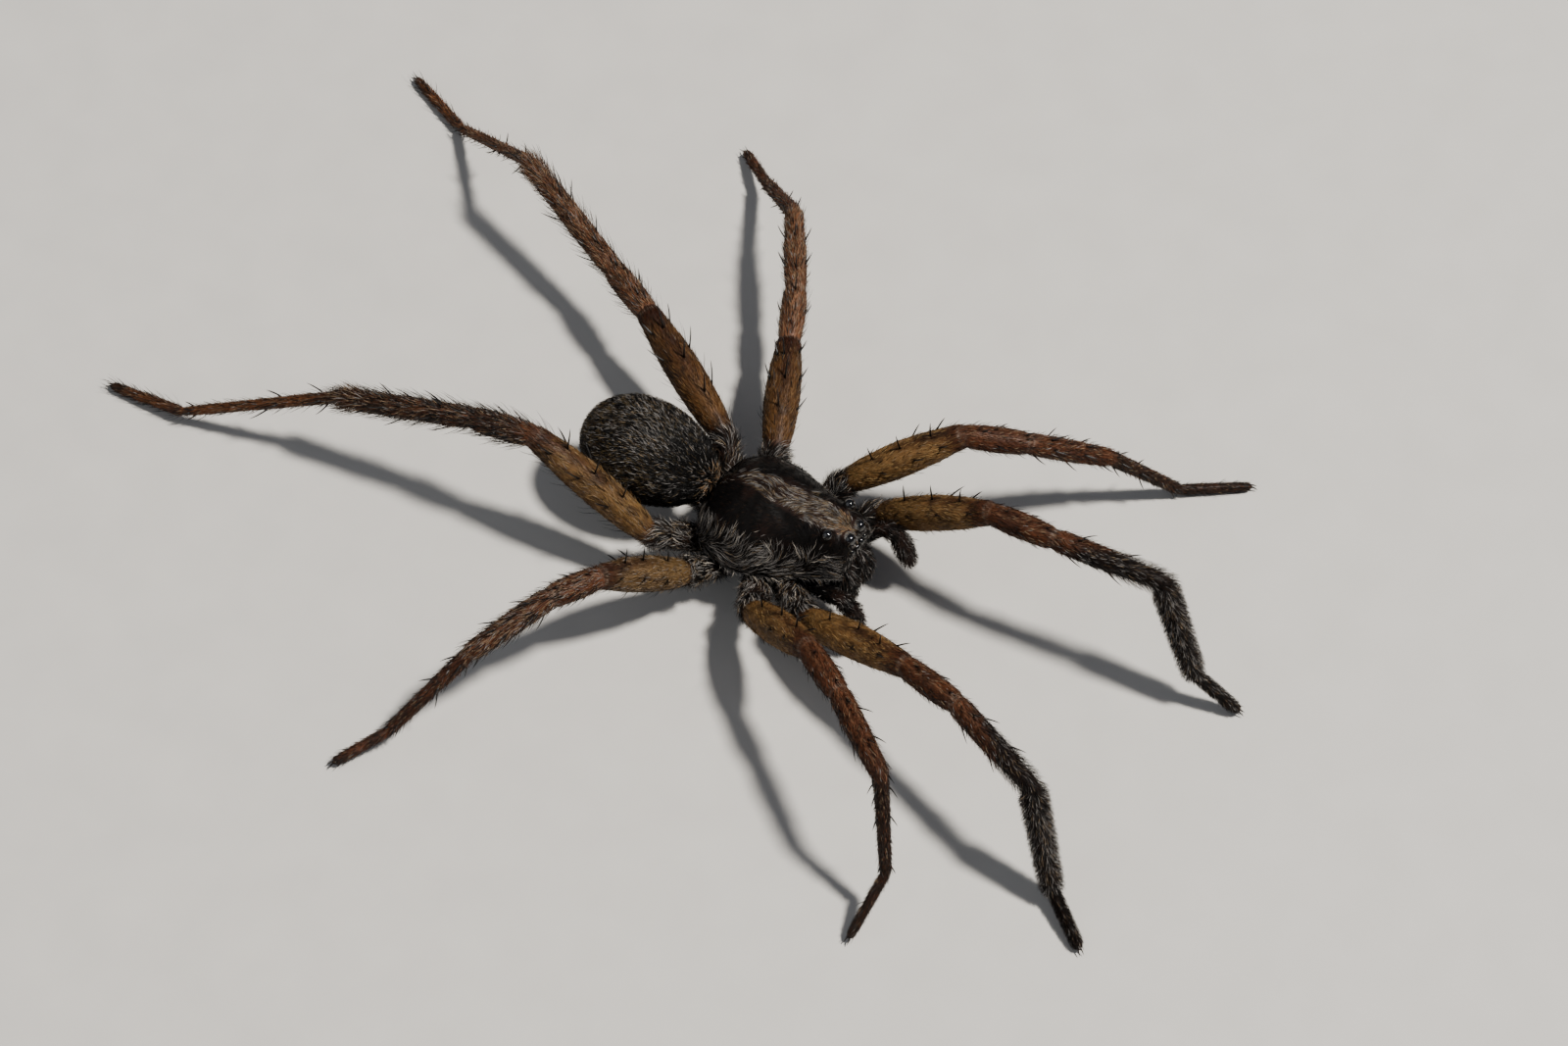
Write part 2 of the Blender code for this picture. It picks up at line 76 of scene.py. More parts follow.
STANCE = {      # spread; rises of femur, patella, tibia and metatarsus; turns at tibia, metatarsus and tarsus
    (1, "right"): (73, 26, 11, -4, -67, -4, -3, -12), (2, "right"): (56, 37, 10, 3, -66, -4, -7, -53),
    (3, "right"): (-26, 34, 9, -22, -44, -4, -3, 0), (4, "right"): (-85, 32, -10, -15, -28, 5, 6, -13),
    (1, "left"): (91, 38, 9, -2, -67, -8, 9, -15), (2, "left"): (61, 38, -7, -30, -44, -17, 1, 8),
    (3, "left"): (-24, 7, 14, 2, -35, -7, -14, -4), (4, "left"): (-61, 10, -5, 11, -37, -7, 10, -8),
}
PALPS = {
    "left": ((1.27, 2.98, 2.30), (1.90, 4.18, 3.38), (2.02, 4.82, 3.30), (1.94, 5.60, 1.95)),
    "right": ((-1.27, 2.98, 2.30), (-1.72, 4.30, 3.02), (-1.80, 4.98, 2.88), (-1.80, 5.28, 1.15)),
}
STERNUM_HALF, STERNUM_SIDES = (1.22, 2.05), 40
STERNUM_LEVELS = (          # height, share of the half sizes
    (1.28, .66), (1.36, .84), (1.56, .94), (2.20, .93), (2.60, .92), (3.05, .80), (3.25, .4))
WAIST_LINE = ((0, 0, -1.5, 2.5), (.5, 0, -2.35, 2.46), (1, 0, -3.3, 2.85))     # share, then a place
WAIST_RADII = (.30, .34)                                  # at the front and the back
LABIUM = ((0, 2.45, 1.54), (.32, .34, .22), 16, 20)       # centre, half sizes, rings, sides
PAIRED_MOUTHPARTS = (((.46, 2.64, 1.80), (.27, .50, .34)), ((1.02, 2.62, 2.12), (.36, .58, .36)))
SPINNERET_START, SPINNERET_AXIS, SPINNERET_LENGTH = (.14, -7.30, 2.47), (.18, -1.0, -.30), .95
SPINNERET_PAIRS = ((0.0, 1.0), (0.26, 0.85))              # lift above the start, share of the length
SPINNERET_PROFILE = ((0, .19), (.7, .15), (.95, .08), (1, .03))
JAW_LINE = (                # left jaw and fang: lateral, forward, height, radius
    (0.50, 3.42, 3.62, 0.36), (0.55, 3.62, 3.26, 0.39), (0.56, 3.86, 2.92, 0.44), (0.56, 3.98, 2.40, 0.44),
    (0.53, 4.00, 1.85, 0.34), (0.52, 3.98, 1.60, 0.20), (0.46, 3.90, 1.38, 0.11), (0.33, 3.78, 1.27, 0.075),
    (0.20, 3.64, 1.26, 0.02),
)
FANG_START = 0.70           # share of the jaw line where the fang begins

# ---- limb parts ----
COXA, FEMUR, PATELLA, TIBIA, METATARSUS, TARSUS, PALP_FEMUR, PALP_TIBIA, PALP_TARSUS = range(9)
OFF_LIMBS = 100             # from here on the kinds are regions of the body
ON_ABDOMEN, ON_TRUNK, ON_WAIST = range(OFF_LIMBS, OFF_LIMBS + 3)
PROFILES = {                # skin radius along each part: (share, radius)
    COXA: ((0, .44), (.30, .50), (.52, .50), (.62, .42), (.70, .45), (.84, .54), (.95, .50), (1, .44)),
    FEMUR: ((0, .45), (.06, .53), (.2, .63), (.45, .70), (.7, .65), (.88, .54), (.96, .50), (1, .43)),
    PATELLA: ((0, .42), (.10, .46), (.5, .50), (.88, .46), (1, .37)),
    TIBIA: ((0, .37), (.06, .42), (.4, .435), (.8, .38), (.95, .36), (1, .28)),
    METATARSUS: ((0, .27), (.05, .29), (.5, .26), (.94, .22), (1, .18)),
    TARSUS: ((0, .18), (.08, .20), (.6, .19), (.9, .175), (1, .16)),
    PALP_FEMUR: ((0, .22), (.5, .31), (.9, .28), (1, .24)),
    PALP_TIBIA: ((0, .25), (.4, .31), (.9, .30), (1, .26)),
    PALP_TARSUS: ((0, .27), (.3, .34), (.7, .30), (1, .17)),
}
GIRTH = {(1, METATARSUS): 1.30, (1, TARSUS): 1.05, (4, METATARSUS): 0.82}    # of one pair against the others
FEMUR_ARCH = 0.07           # how far a femur's middle stands above the line between its joints
SPINES = {                  # share, degrees from the top (+ is backward), length, lean from the surface
    FEMUR: ((.30, [2], .72, 66), (.56, [-4], .80, 66), (.80, [3], .70, 60), (.60, [58], .55, 40),
            (.82, [48], .50, 36), (.34, [-62], .52, 42), (.60, [-58], .55, 40), (.85, [-50], .50, 36)),
    PATELLA: ((.25, [0], .32, 40), (.52, [74, -74], .48, 34), (.9, [0], .40, 40)),
    TIBIA: ((.20, [4], .58, 48), (.64, [-4], .58, 44), (.24, [64], .62, 38), (.62, [62], .60, 36),
            (.26, [-64], .62, 38), (.60, [-62], .60, 36), (.14, [148, -148], .78, 34),
            (.50, [146, -146], .80, 34), (.93, [130, -130], .52, 30)),
    METATARSUS: ((.10, [56, -56], .58, 38), (.38, [62, -62], .56, 36), (.08, [150, -150], .70, 34),
                 (.45, [148, -148], .66, 32), (.93, [70, -70], .38, 30), (.93, [150, -150], .40, 30)),
    PALP_TIBIA: ((.35, [40], .50, 55), (.40, [-40], .50, 55), (.9, [0], .55, 50)),
    PALP_TARSUS: ((.2, [50], .5, 50), (.3, [-50], .5, 48)),
}
SPINE_BUILD = {             # length against the one above, and radius
    FEMUR: (1.38, 0.036), PATELLA: (1.20, 0.030), TIBIA: (1.20, 0.030), METATARSUS: (1.20, 0.030),
    PALP_TIBIA: (1.20, 0.018), PALP_TARSUS: (1.20, 0.018),
}
SPINE_RING = 0.13           # radius of the dark ring at a spine's foot

# ---- colours, linear ----
OCHRE = np.array((0.104, 0.052, 0.018))
# the lighter ochre is painted light on the tops of the femora
OCHRE_SHADOW, OCHRE_PAINTED_LIGHT = (0.052, 0.026, 0.010), (0.140, 0.075, 0.024)
FEMUR_CREST, FEMUR_ENDS, FEMUR_BLOTCH = (0.030, 0.011, 0.005), (0.030, 0.010, 0.005), (0.016, 0.008, 0.005)
SHANK_RED, SHANK_SHADOW = (0.062, 0.020, 0.008), (0.026, 0.010, 0.006)
SHANK_LIGHT, SHANK_LINE = (0.130, 0.052, 0.022), (0.120, 0.058, 0.030)
FOOT_RED, FOOT_SHADOW, FOOT_LIGHT = (0.056, 0.019, 0.009), (0.020, 0.009, 0.006), (0.095, 0.036, 0.013)
DARK_SKIN, BLACK_SKIN = (0.012, 0.007, 0.005), (0.0034, 0.0028, 0.0026)
COXA_BROWN, PALP_BROWN, WAIST_BROWN = (0.024, 0.012, 0.008), (0.020, 0.010, 0.007), (0.030, 0.018, 0.012)
ABDOMEN_BLACK, ABDOMEN_BROWN = (0.0040, 0.0034, 0.0030), (0.0090, 0.0070, 0.0052)
JOINT_PALE, SPINE_RING_BLACK, FANG_RED = (0.17, 0.13, 0.10), (0.010, 0.005, 0.004), (0.014, 0.0045, 0.003)
SHELL_BLACK, SHELL_SHADOW = (0.0026, 0.0020, 0.0018), (0.0075, 0.0036, 0.0028)
SHELL_BAND, SHELL_RIM = (0.024, 0.013, 0.010), (0.0050, 0.0042, 0.0038)
PALETTE = {                 # of the hair
    "gold": (0.205, 0.128, 0.052), "tan": (0.165, 0.118, 0.072), "olive": (0.075, 0.053, 0.026),
    "rust": (0.070, 0.024, 0.010), "umber": (0.022, 0.012, 0.007), "soot": (0.0040, 0.0036, 0.0034),
    "ash": (0.160, 0.148, 0.138), "cream": (0.40, 0.35, 0.29), "apricot": (0.27, 0.155, 0.080),
}


# ---- small helpers ----
def place(points):
    """Points given as lateral, forward, height, turned to x, y, z."""
    return np.asarray(points, float) * np.array([1.0, -1.0, 1.0])


def unit(vectors):
    return vectors / np.maximum(np.linalg.norm(vectors, axis=-1, keepdims=True), 1e-12)


def ramp(low, high, value):
    """From 0 at low to 1 at high, whichever is the greater."""
    t = np.clip((value - low) / (high - low), 0.0, 1.0)
    return t * t * (3.0 - 2.0 * t)


def peak(value, width, middle=0.0):
    """1 at the middle, falling to nothing a few widths away."""
    return np.exp(-((value - middle) / width) ** 2)


def mix(first, second, share):
    """Between two colours, or two rows of shades, with a share for each point."""
    first, second = np.asarray(first, float), np.asarray(second, float)
    return first + (second - first) * np.asarray(share)[..., None]


def layered(base, *layers):
    """A colour, or a row of shades, with others laid over it in turn; each layer is what and how strongly."""
    for layer, strength in layers:
        base = mix(base, layer, strength)
    return base


def paint(rows, mask, new):
    """Replace the masked rows, by one row or by the matching ones."""
    rows[mask] = new[mask] if np.ndim(new) > 1 else new


def toned(rows, mask, factors):
    """Rows of colour, the masked ones multiplied by these factors."""
    return rows * mix((1, 1, 1), factors, mask)


def curve(x, keys):
    """A smooth curve through keys (x, y, ...) with no overshoot; one value per column of y."""
    keys = np.asarray(keys, float)
    xs, ys = keys[:, 0], keys[:, 1:]
    width = np.diff(xs)[:, None]
    slope = np.diff(ys, axis=0) / width
    tangent = np.zeros_like(ys)
    before, after = 2 * width[1:] + width[:-1], width[1:] + 2 * width[:-1]
    turning = slope[1:] * slope[:-1] <= 0
    safe = np.where(turning, 1.0, slope[1:]), np.where(turning, 1.0, slope[:-1])
    inner = (before + after) / (before / safe[1] + after / safe[0])
    tangent[1:-1] = np.where(turning, 0.0, inner)
    tangent[0], tangent[-1] = slope[0], slope[-1]
    x = np.clip(np.asarray(x, float), xs[0], xs[-1])
    i = np.clip(np.searchsorted(xs, x) - 1, 0, len(xs) - 2)
    h = width[i]
    t = ((x - xs[i]) / h[..., 0])[..., None]
    return ((1 + 2 * t) * (1 - t) ** 2 * ys[i] + t * (1 - t) ** 2 * h * tangent[i]
            + t * t * (3 - 2 * t) * ys[i + 1] + t * t * (t - 1) * h * tangent[i + 1])


def noise(points, size, seed):
    """Smooth noise from 0 to 1, with features of this size in millimetres."""
    scaled = points / size
    cell = np.floor(scaled).astype(np.int64)
    f = scaled - cell
    f = f * f * (3 - 2 * f)
    total = np.zeros(len(points))
    for corner in itertools.product((0, 1), repeat=3):
        c = cell + np.array(corner)
        mixed = (c[:, 0] * 73856093) ^ (c[:, 1] * 19349663) ^ (c[:, 2] * 83492791) ^ (seed * 912931)
        mixed = (mixed ^ (mixed >> 13)) * 1274126177
        value = ((mixed ^ (mixed >> 16)) & 0xFFFF) / 65535.0
        total += value * np.prod(np.where(np.array(corner) == 1, f, 1 - f), axis=1)
    return total


def vary(count, least, span):
    """A chance number for each hair, from the least to the least plus the span."""
    return least + span * RNG.random(count)


# ---- meshes ----
def frame_offset():
    """Where the body plan's origin stands in the frame, in millimetres, from one eye of the solids."""
    low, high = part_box("eye_posterior_median_left")
    return np.array((low + high) / 2) / MM - place(EYES["posterior_median"][:3])


OFFSET = frame_offset()


def to_frame(points):
    return (points + OFFSET) * MM


def link_object(name, data):
    body = bpy.data.objects.new(name, data)
    bpy.context.scene.collection.objects.link(body)
    return body


def add_piece(name, mesh, material, replaces=()):
    """Put a mesh into the frame as a visible piece."""
    mesh.materials.append(material)
    body = link_object(name, mesh)
    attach(body, "root")
    if replaces:
        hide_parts(*replaces)


def tube(centres, radii, sides, upright=(0.0, 0.0, 1.0), depth=1.0):
    """Vertices and faces of a closed tube; the first vertex of each ring is on the upper side."""
    tangents = unit(np.gradient(centres, axis=0))
    side = unit(np.cross(tangents, np.array(upright)))
    dorsal = np.cross(side, tangents)
    turn = 2 * math.pi * np.arange(sides) / sides
    across = side[:, None] * np.sin(turn)[None, :, None]
    around = across + depth * dorsal[:, None] * np.cos(turn)[None, :, None]
    points = (centres[:, None] + radii[:, None, None] * around).reshape(-1, 3)
    return points, grid_faces(len(centres), sides)


def grid_faces(rings, sides):
    """Quads between rings of points, and a flat face over each end."""
    faces = []
    for k, i in itertools.product(range(rings - 1), range(sides)):
        j = (i + 1) % sides
        faces.append((k * sides + i, k * sides + j, (k + 1) * sides + j, (k + 1) * sides + i))
    faces.append(tuple(reversed(range(sides))))
    faces.append(tuple(range((rings - 1) * sides, rings * sides)))
    return faces


def joined(shapes):
    """One list of vertices and faces from several."""
    points, faces, start = [], [], 0
    for some_points, some_faces in shapes:
        points.append(some_points)
        faces += [tuple(start + i for i in face) for face in some_faces]
        start += len(some_points)
    return np.concatenate(points), faces


def solid_mesh(name, points, faces):
    """A smooth closed mesh facing outwards."""
    mesh = bpy.data.meshes.new(name)
    mesh.from_pydata(points.tolist(), [], faces)
    bm = bmesh.new()
    bm.from_mesh(mesh)
    bmesh.ops.recalc_face_normals(bm, faces=bm.faces)
    bm.to_mesh(mesh)
    bm.free()
    mesh.shade_smooth()
    return mesh


def set_colours(mesh, colours):
    """A colour for each vertex, read by the materials as "tint"."""
    layer = mesh.color_attributes.new(name="tint", type="FLOAT_COLOR", domain="POINT")
    rgba = np.ones((len(colours), 4), np.float32)
    rgba[:, :3] = colours
    layer.data.foreach_set("color", rgba.ravel())


def set_points(mesh, points):
    mesh.vertices.foreach_set("co", points.astype(np.float32).ravel())
    mesh.update()


def rows_of(items, field):
    """Three numbers from each vertex or vertex normal."""
    rows = np.zeros(len(items) * 3, np.float32)
    items.foreach_get(field, rows)
    return rows.reshape(-1, 3).astype(float)


def ellipsoid(centre, half, rings, sides, blunt=0.0):
    """An egg along the forward axis; blunt shifts its widest place to the rear."""
    turn = np.linspace(0.02, math.pi - 0.02, rings)
    swell = np.sin(turn) * (1 - blunt * np.cos(turn))
    around = 2 * math.pi * np.arange(sides) / sides
    points = np.stack([
        centre[0] + half[0] * swell[:, None] * np.sin(around),
        np.repeat((centre[1] + half[1] * np.cos(turn))[:, None], sides, 1),
        centre[2] + half[2] * swell[:, None] * np.cos(around)], axis=-1).reshape(-1, 3)
    return place(points), grid_faces(rings, sides)


# ---- limbs ----
def leg_joints(pair, side):
    """Coxa base, hip, the joints of a leg and its tip."""
    spread, *rises = STANCE[pair, side][:5]
    headings = np.radians(np.cumsum((spread, 0) + STANCE[pair, side][5:]))
    joints = [np.array(COXA_INNER[pair]), np.array(HIPS[pair])]

    def step(flat, climb, heading):
        joints.append(joints[-1] + np.array([flat * math.cos(heading), flat * math.sin(heading), climb]))

    for length, rise, heading in zip(LEG_LENGTHS[pair], np.radians(rises), headings):
        step(length * math.cos(rise), length * math.sin(rise), heading)
    fall = joints[-1][2] - SOLE_HEIGHT
    step(math.sqrt(LEG_LENGTHS[pair][-1] ** 2 - fall ** 2), -fall, headings[-1])
    return place(joints) * (1 if side == "left" else -1, 1, 1)


LIMBS = [(pair, side, leg_joints(pair, side), (COXA, FEMUR, PATELLA, TIBIA, METATARSUS, TARSUS))
         for side in ("left", "right") for pair in (1, 2, 3, 4)]
LIMBS += [(0, side, place(PALPS[side]), (PALP_FEMUR, PALP_TIBIA, PALP_TARSUS)) for side in ("left", "right")]
LIMB_PAIR = np.array([limb[0] for limb in LIMBS])
LIMB_RIGHT = np.array([limb[1] == "right" for limb in LIMBS])
SEGMENTS = [(limb, kind, joints[i], joints[i + 1])
            for limb, (_, _, joints, kinds) in enumerate(LIMBS) for i, kind in enumerate(kinds)]
SEG_LIMB, SEG_KIND, SEG_START, SEG_END = (np.array(column) for column in zip(*SEGMENTS))
SEG_AXIS = SEG_END - SEG_START
SEG_LENGTH = np.linalg.norm(SEG_AXIS, axis=1)
SEG_AXIS /= SEG_LENGTH[:, None]
SEG_SIDE = unit(np.cross(SEG_AXIS, (0.0, 0.0, 1.0)))
SEG_DORSAL = np.cross(SEG_SIDE, SEG_AXIS)


def limb_tube(pair, joints, kinds, sides=18, step=0.06, round_over=0.40, tip_round=0.16):
    """The skin of one limb, as a tube along its joints with the corners rounded."""
    centres, radii = [], []
    for i, kind in enumerate(kinds):
        length = np.linalg.norm(joints[i + 1] - joints[i])
        share = np.linspace(0, 1, max(4, int(length / step)), endpoint=i == len(kinds) - 1)
        middle = joints[i] + (joints[i + 1] - joints[i]) * share[:, None]
        if kind == FEMUR:
            middle[:, 2] += FEMUR_ARCH * np.sin(math.pi * share)
        centres.append(middle)
        radii.append(curve(share, PROFILES[kind])[:, 0] * GIRTH.get((pair, kind), 1.0))
    centres, radii = np.concatenate(centres), np.concatenate(radii)
    width = int(round_over / step) | 1
    window = np.hanning(width + 2)[1:-1]
    window /= window.sum()
    padded = np.pad(centres, ((width // 2, width // 2), (0, 0)), mode="edge")
    centres = np.stack([np.convolve(padded[:, k], window, "valid") for k in range(3)], axis=1)
    along = np.concatenate([[0], np.cumsum(np.linalg.norm(np.diff(centres, axis=0), axis=1))])
    to_tip = np.clip((along[-1] - along) / tip_round, 0, 1)
    radii = radii * np.maximum(np.sqrt(1 - (1 - to_tip) ** 2), 0.15)
    keep = np.concatenate([[True], np.diff(along) > 1e-4])
    return tube(centres[keep], radii[keep], sides)


def trunk_shapes():
    """The sternum with the body wall above it, mouthparts, waist, abdomen and spinnerets."""
    around = 2 * math.pi * np.arange(STERNUM_SIDES) / STERNUM_SIDES
    taper = 1 + 0.10 * np.sin(around)
    half_width, half_length = STERNUM_HALF
    rings = [np.stack([half_width * s * taper * np.cos(around), half_length * s * np.sin(around) - 0.05,
                       np.full(STERNUM_SIDES, height)], axis=1) for height, s in STERNUM_LEVELS]
    shapes = [(place(np.concatenate(rings)), grid_faces(len(rings), STERNUM_SIDES)),
              ellipsoid(*LABIUM)]
    for sign, (centre, half) in itertools.product((1, -1), PAIRED_MOUTHPARTS):
        shapes.append(ellipsoid((sign * centre[0], *centre[1:]), half, 18, 20))
    waist = curve(np.linspace(0, 1, 14), WAIST_LINE)
    shapes.append(tube(place(waist), np.linspace(*WAIST_RADII, len(waist)), 20))
    shapes.append(ellipsoid(ABDOMEN_CENTRE, ABDOMEN_SKIN_HALF, 70, 80, ABDOMEN_BLUNT))
    for (lift, share), sign in itertools.product(SPINNERET_PAIRS, (1, -1)):
        start = np.array(SPINNERET_START) * (sign, 1, 1) + (0, 0, lift)
        axis = unit(np.array(SPINNERET_AXIS) * (sign, 1, 1))
        reach = np.linspace(0, SPINNERET_LENGTH * share, 10)
        radii = curve(reach / reach[-1], SPINNERET_PROFILE)[:, 0]
        shapes.append(tube(place(start + axis * reach[:, None]), radii, 14))
    return shapes


def make_skin_mesh(voxel=0.07):
    """Limbs and trunk melted into one surface."""
    shapes = trunk_shapes() + [limb_tube(pair, joints, kinds) for pair, _, joints, kinds in LIMBS]
    rough = link_object("rough_skin", solid_mesh("rough_skin", *joined(shapes)))
    remesh = rough.modifiers.new("melt", "REMESH")
    remesh.mode = "VOXEL"
    remesh.voxel_size = voxel
    smooth = rough.modifiers.new("relax", "SMOOTH")
    smooth.factor = 0.5
    smooth.iterations = 3
    mesh = bpy.data.meshes.new_from_object(rough.evaluated_get(bpy.context.evaluated_depsgraph_get()))
    bpy.data.objects.remove(rough)
    mesh.name = "skin"
    mesh.shade_smooth()
    return mesh


# ---- where on the body a point lies ----
TRUNK_HALF, TRUNK_BACK = (1.18, 1.95), 0.05               # backward distances are from the plan's origin
WAIST_HEIGHT, WAIST_FROM, WAIST_TO = 2.5, 1.7, 3.1
SPINNERETS_FROM, SPINNERETS_HALF_WIDTH = 6.5, 1.0
TRUNK_SIZE, ABDOMEN_SIZE = 1.4, 2.0                       # millimetres for one outline's size, roughly


def locate(points):
    """Where each point lies: the nearest limb part or body region, and its place on that part.

    The angle is from the part's top, forward being + on the left side and - on the right.
    """
    nearest = np.full(len(points), np.inf)
    part = np.zeros(len(points), int)
    for k, (kind, start, axis, length) in enumerate(zip(SEG_KIND, SEG_START, SEG_AXIS, SEG_LENGTH)):
        relative = points - start
        along = np.clip(relative @ axis, 0, length)
        radius = curve(along / length, PROFILES[kind])[:, 0]
        gap = np.linalg.norm(relative - along[:, None] * axis, axis=1) - radius
        nearer = gap < nearest
        nearest[nearer] = gap[nearer]
        part[nearer] = k
    lateral, back, height = points.T
    outline = np.stack([lateral / TRUNK_HALF[0], (back - TRUNK_BACK) / TRUNK_HALF[1]], axis=1)
    trunk_gap = (np.linalg.norm(outline, axis=1) - 1) * TRUNK_SIZE
    waist_gap = np.hypot(lateral, height - WAIST_HEIGHT) - WAIST_RADII[0]
    waist_gap[(back < WAIST_FROM) | (back > WAIST_TO)] = np.inf
    outline = (points - place(ABDOMEN_CENTRE)) / ABDOMEN_SKIN_HALF
    abdomen_gap = (np.linalg.norm(outline, axis=1) - 1) * ABDOMEN_SIZE
    kind = SEG_KIND[part]
    for region, gap in ((ON_TRUNK, trunk_gap), (ON_WAIST, waist_gap)):
        kind = np.where(gap < nearest, region, kind)
        nearest = np.minimum(nearest, gap)
    on_spinnerets = (back > SPINNERETS_FROM) & (np.abs(lateral) < SPINNERETS_HALF_WIDTH) & (kind >= OFF_LIMBS)
    kind = np.where((abdomen_gap < nearest) | on_spinnerets, ON_ABDOMEN, kind)
    relative = points - SEG_START[part]
    along, sideways, upward = (np.einsum("ij,ij->i", relative, directions[part])
                               for directions in (SEG_AXIS, SEG_SIDE, SEG_DORSAL))
    limb = SEG_LIMB[part]
    pair, right = LIMB_PAIR[limb], LIMB_RIGHT[limb]
    return SimpleNamespace(
        kind=kind, limb=limb, pair=pair, right=right, axis=SEG_AXIS[part], angle=np.arctan2(sideways, upward),
        share=np.clip(along / SEG_LENGTH[part], 0, 1), from_start=along, to_end=SEG_LENGTH[part] - along,
        on_limb=kind < OFF_LIMBS, palp=(kind >= PALP_FEMUR) & (kind < OFF_LIMBS),
        shank=(kind == PATELLA) | (kind == TIBIA), foot=(kind == METATARSUS) | (kind == TARSUS),
        left_hind=~right & (pair >= 3), slim_shin=(pair == 4) & (kind == METATARSUS))


def spine_shade(points):
    """How dark a point is from the ring at the foot of the nearest spine."""
    return peak(np.array([SPINE_TREE.find(point)[2] for point in points]), SPINE_RING)


def tibia_soot(at):
    """How black the first tibiae are: from their middles outwards, and nearly all of their forward sides."""
    forward_side = 0.5 + 0.5 * np.sin(at.angle) * np.where(at.right, -1, 1)
    outward = ramp(0.25 - 0.35 * forward_side, 0.80 - 0.50 * forward_side, at.share)
    return (at.kind == TIBIA) * (at.pair == 1) * outward


def femur_colours(at, points, broad):
    """Ochre, lighter on top near the body by painted light, with a dark crest, red-brown ends and dark
    blotches; painted shade on the left hind ones.
    """
    top, share = np.cos(at.angle), at.share
    ends = np.maximum(ramp(0.78, 0.96, share), ramp(0.12, 0.0, share))
    blotch = ramp(0.60, 0.76, noise(points, 0.34, 9)) * ramp(-0.2, 0.6, top)
    skin = layered(
        OCHRE * np.where(at.pair <= 2, 1.25, 1.0)[:, None],
        (OCHRE_SHADOW, ramp(0.45, 0.8, broad) * 0.8),
        # painted light on the femur's top near the body
        (OCHRE_PAINTED_LIGHT, ramp(0.1, 0.9, top) * ramp(0.75, 0.2, share) * 0.5),
        (FEMUR_CREST, peak(at.angle, 0.34) * ramp(0.30, 0.70, share) * 0.75),
        (FEMUR_ENDS, ends * 0.9),
        (FEMUR_BLOTCH, blotch * 0.65))
    # painted shade: the left hind femora, turned away from the key light, darkened, and also given a redder
    # tone
    skin = toned(skin, at.left_hind, (0.62, 0.52, 0.46))
    return toned(skin, at.right & (at.pair == 3), (0.76, 0.84, 1.00))


def shank_colours(at, broad):
    """Red-brown with two paler lines, lighter on the left hind legs and sooty on the first tibiae."""
    return layered(
        SHANK_RED,
        (SHANK_SHADOW, ramp(0.35, 0.75, broad) * np.where(at.left_hind, 0.4, 0.8)),
        (SHANK_LIGHT, at.left_hind * 0.6),
        (SHANK_LINE, peak(np.abs(at.angle), 0.16, 0.42) * 0.5),
        (BLACK_SKIN, tibia_soot(at) * 0.92))


def foot_colours(at, broad):
    """Dark red-brown: redder on the fourth pair, nearly black on the first, darker on the second."""
    return layered(
        FOOT_RED,
        (FOOT_SHADOW, ramp(0.3, 0.7, broad)),
        (FOOT_LIGHT, (at.pair == 4) * ramp(0.06, 0.2, at.share) * 0.85),
        (BLACK_SKIN, (at.pair == 1) * 0.92),
        (DARK_SKIN, (at.pair == 2) * 0.75),
        (DARK_SKIN, ramp(0.55, 1.0, at.share) * (at.kind == TARSUS) * 0.8))


def skin_colours(points, at):
    """The skin's markings, with painted light and painted shade on the femora, which the coat's follow."""
    kind = at.kind
    broad, fine = noise(points, 0.55, 3), noise(points, 0.16, 4)
    palp_bend = peak(at.to_end * (kind == PALP_FEMUR) + at.from_start * (kind == PALP_TIBIA), 0.22)
    colours = np.zeros((len(points), 3))
    for mask, part_colours in (
            (kind == FEMUR, femur_colours(at, points, broad)),
            (at.shank, shank_colours(at, broad)),
            (at.foot, foot_colours(at, broad)),
            (kind == COXA, mix(BLACK_SKIN, COXA_BROWN, ramp(0.4, 0.8, broad) * 0.8)),
            (at.palp, mix(BLACK_SKIN, PALP_BROWN, palp_bend)),
            (kind == ON_TRUNK, mix(BLACK_SKIN, DARK_SKIN, broad)),
            (kind == ON_WAIST, mix(BLACK_SKIN, WAIST_BROWN, broad)),
            (kind == ON_ABDOMEN, mix(ABDOMEN_BLACK, ABDOMEN_BROWN, broad))):
        paint(colours, mask, part_colours)
    past_joint = np.where(at.shank, np.abs(at.from_start), np.inf)
    before_joint = np.where((kind == FEMUR) | (kind == PATELLA), np.abs(at.to_end), np.inf)
    joint_ring = peak(np.minimum(past_joint, before_joint), 0.055)
    colours = layered(
        colours,
        (JOINT_PALE, joint_ring * 0.55),
        (SPINE_RING_BLACK, spine_shade(points) * 0.85))
    return colours * (0.86 + 0.28 * fine)[:, None]


# ---- carapace ----
SHELL_INSET = 0.06          # the shell lies this far under the tips of its coat
MEDIAN_BAND = (             # forward, half width of the pale band
    (-2.4, .10), (-1.6, .20), (-0.8, .34), (0.2, .52), (1.6, .66), (2.6, .62), (3.4, .52), (4.2, .40))
FURROW_START = np.array((0.0, -0.35))
FURROWS = (                 # lateral and forward of the end, width, depth
    (1.60, 2.35, 0.20, 0.040), (2.45, 1.05, 0.14, 0.016), (2.55, 0.05, 0.14, 0.016),
    (2.30, -0.95, 0.14, 0.016), (1.55, -1.75, 0.14, 0.016),
)
SHELL_BACK, HEAD_START, SHELL_FRONT = -2.42, 3.0, 4.15
BACK_STATIONS, HEAD_STATIONS, ARC_POINTS, CAP_RINGS = 100, 50, 121, 9
RIM_DROP, SHELL_FLOOR = 0.20, 2.60
RIM = ((1.0, 0.45), (0.97, 0.85), (0.90, 1.0))     # shares of the half width and of the drop below the margin


def carapace_section(forward):
    """Half width, top, margin and squareness of the shell at a station."""
    return curve(forward, CARAPACE_STATIONS).T


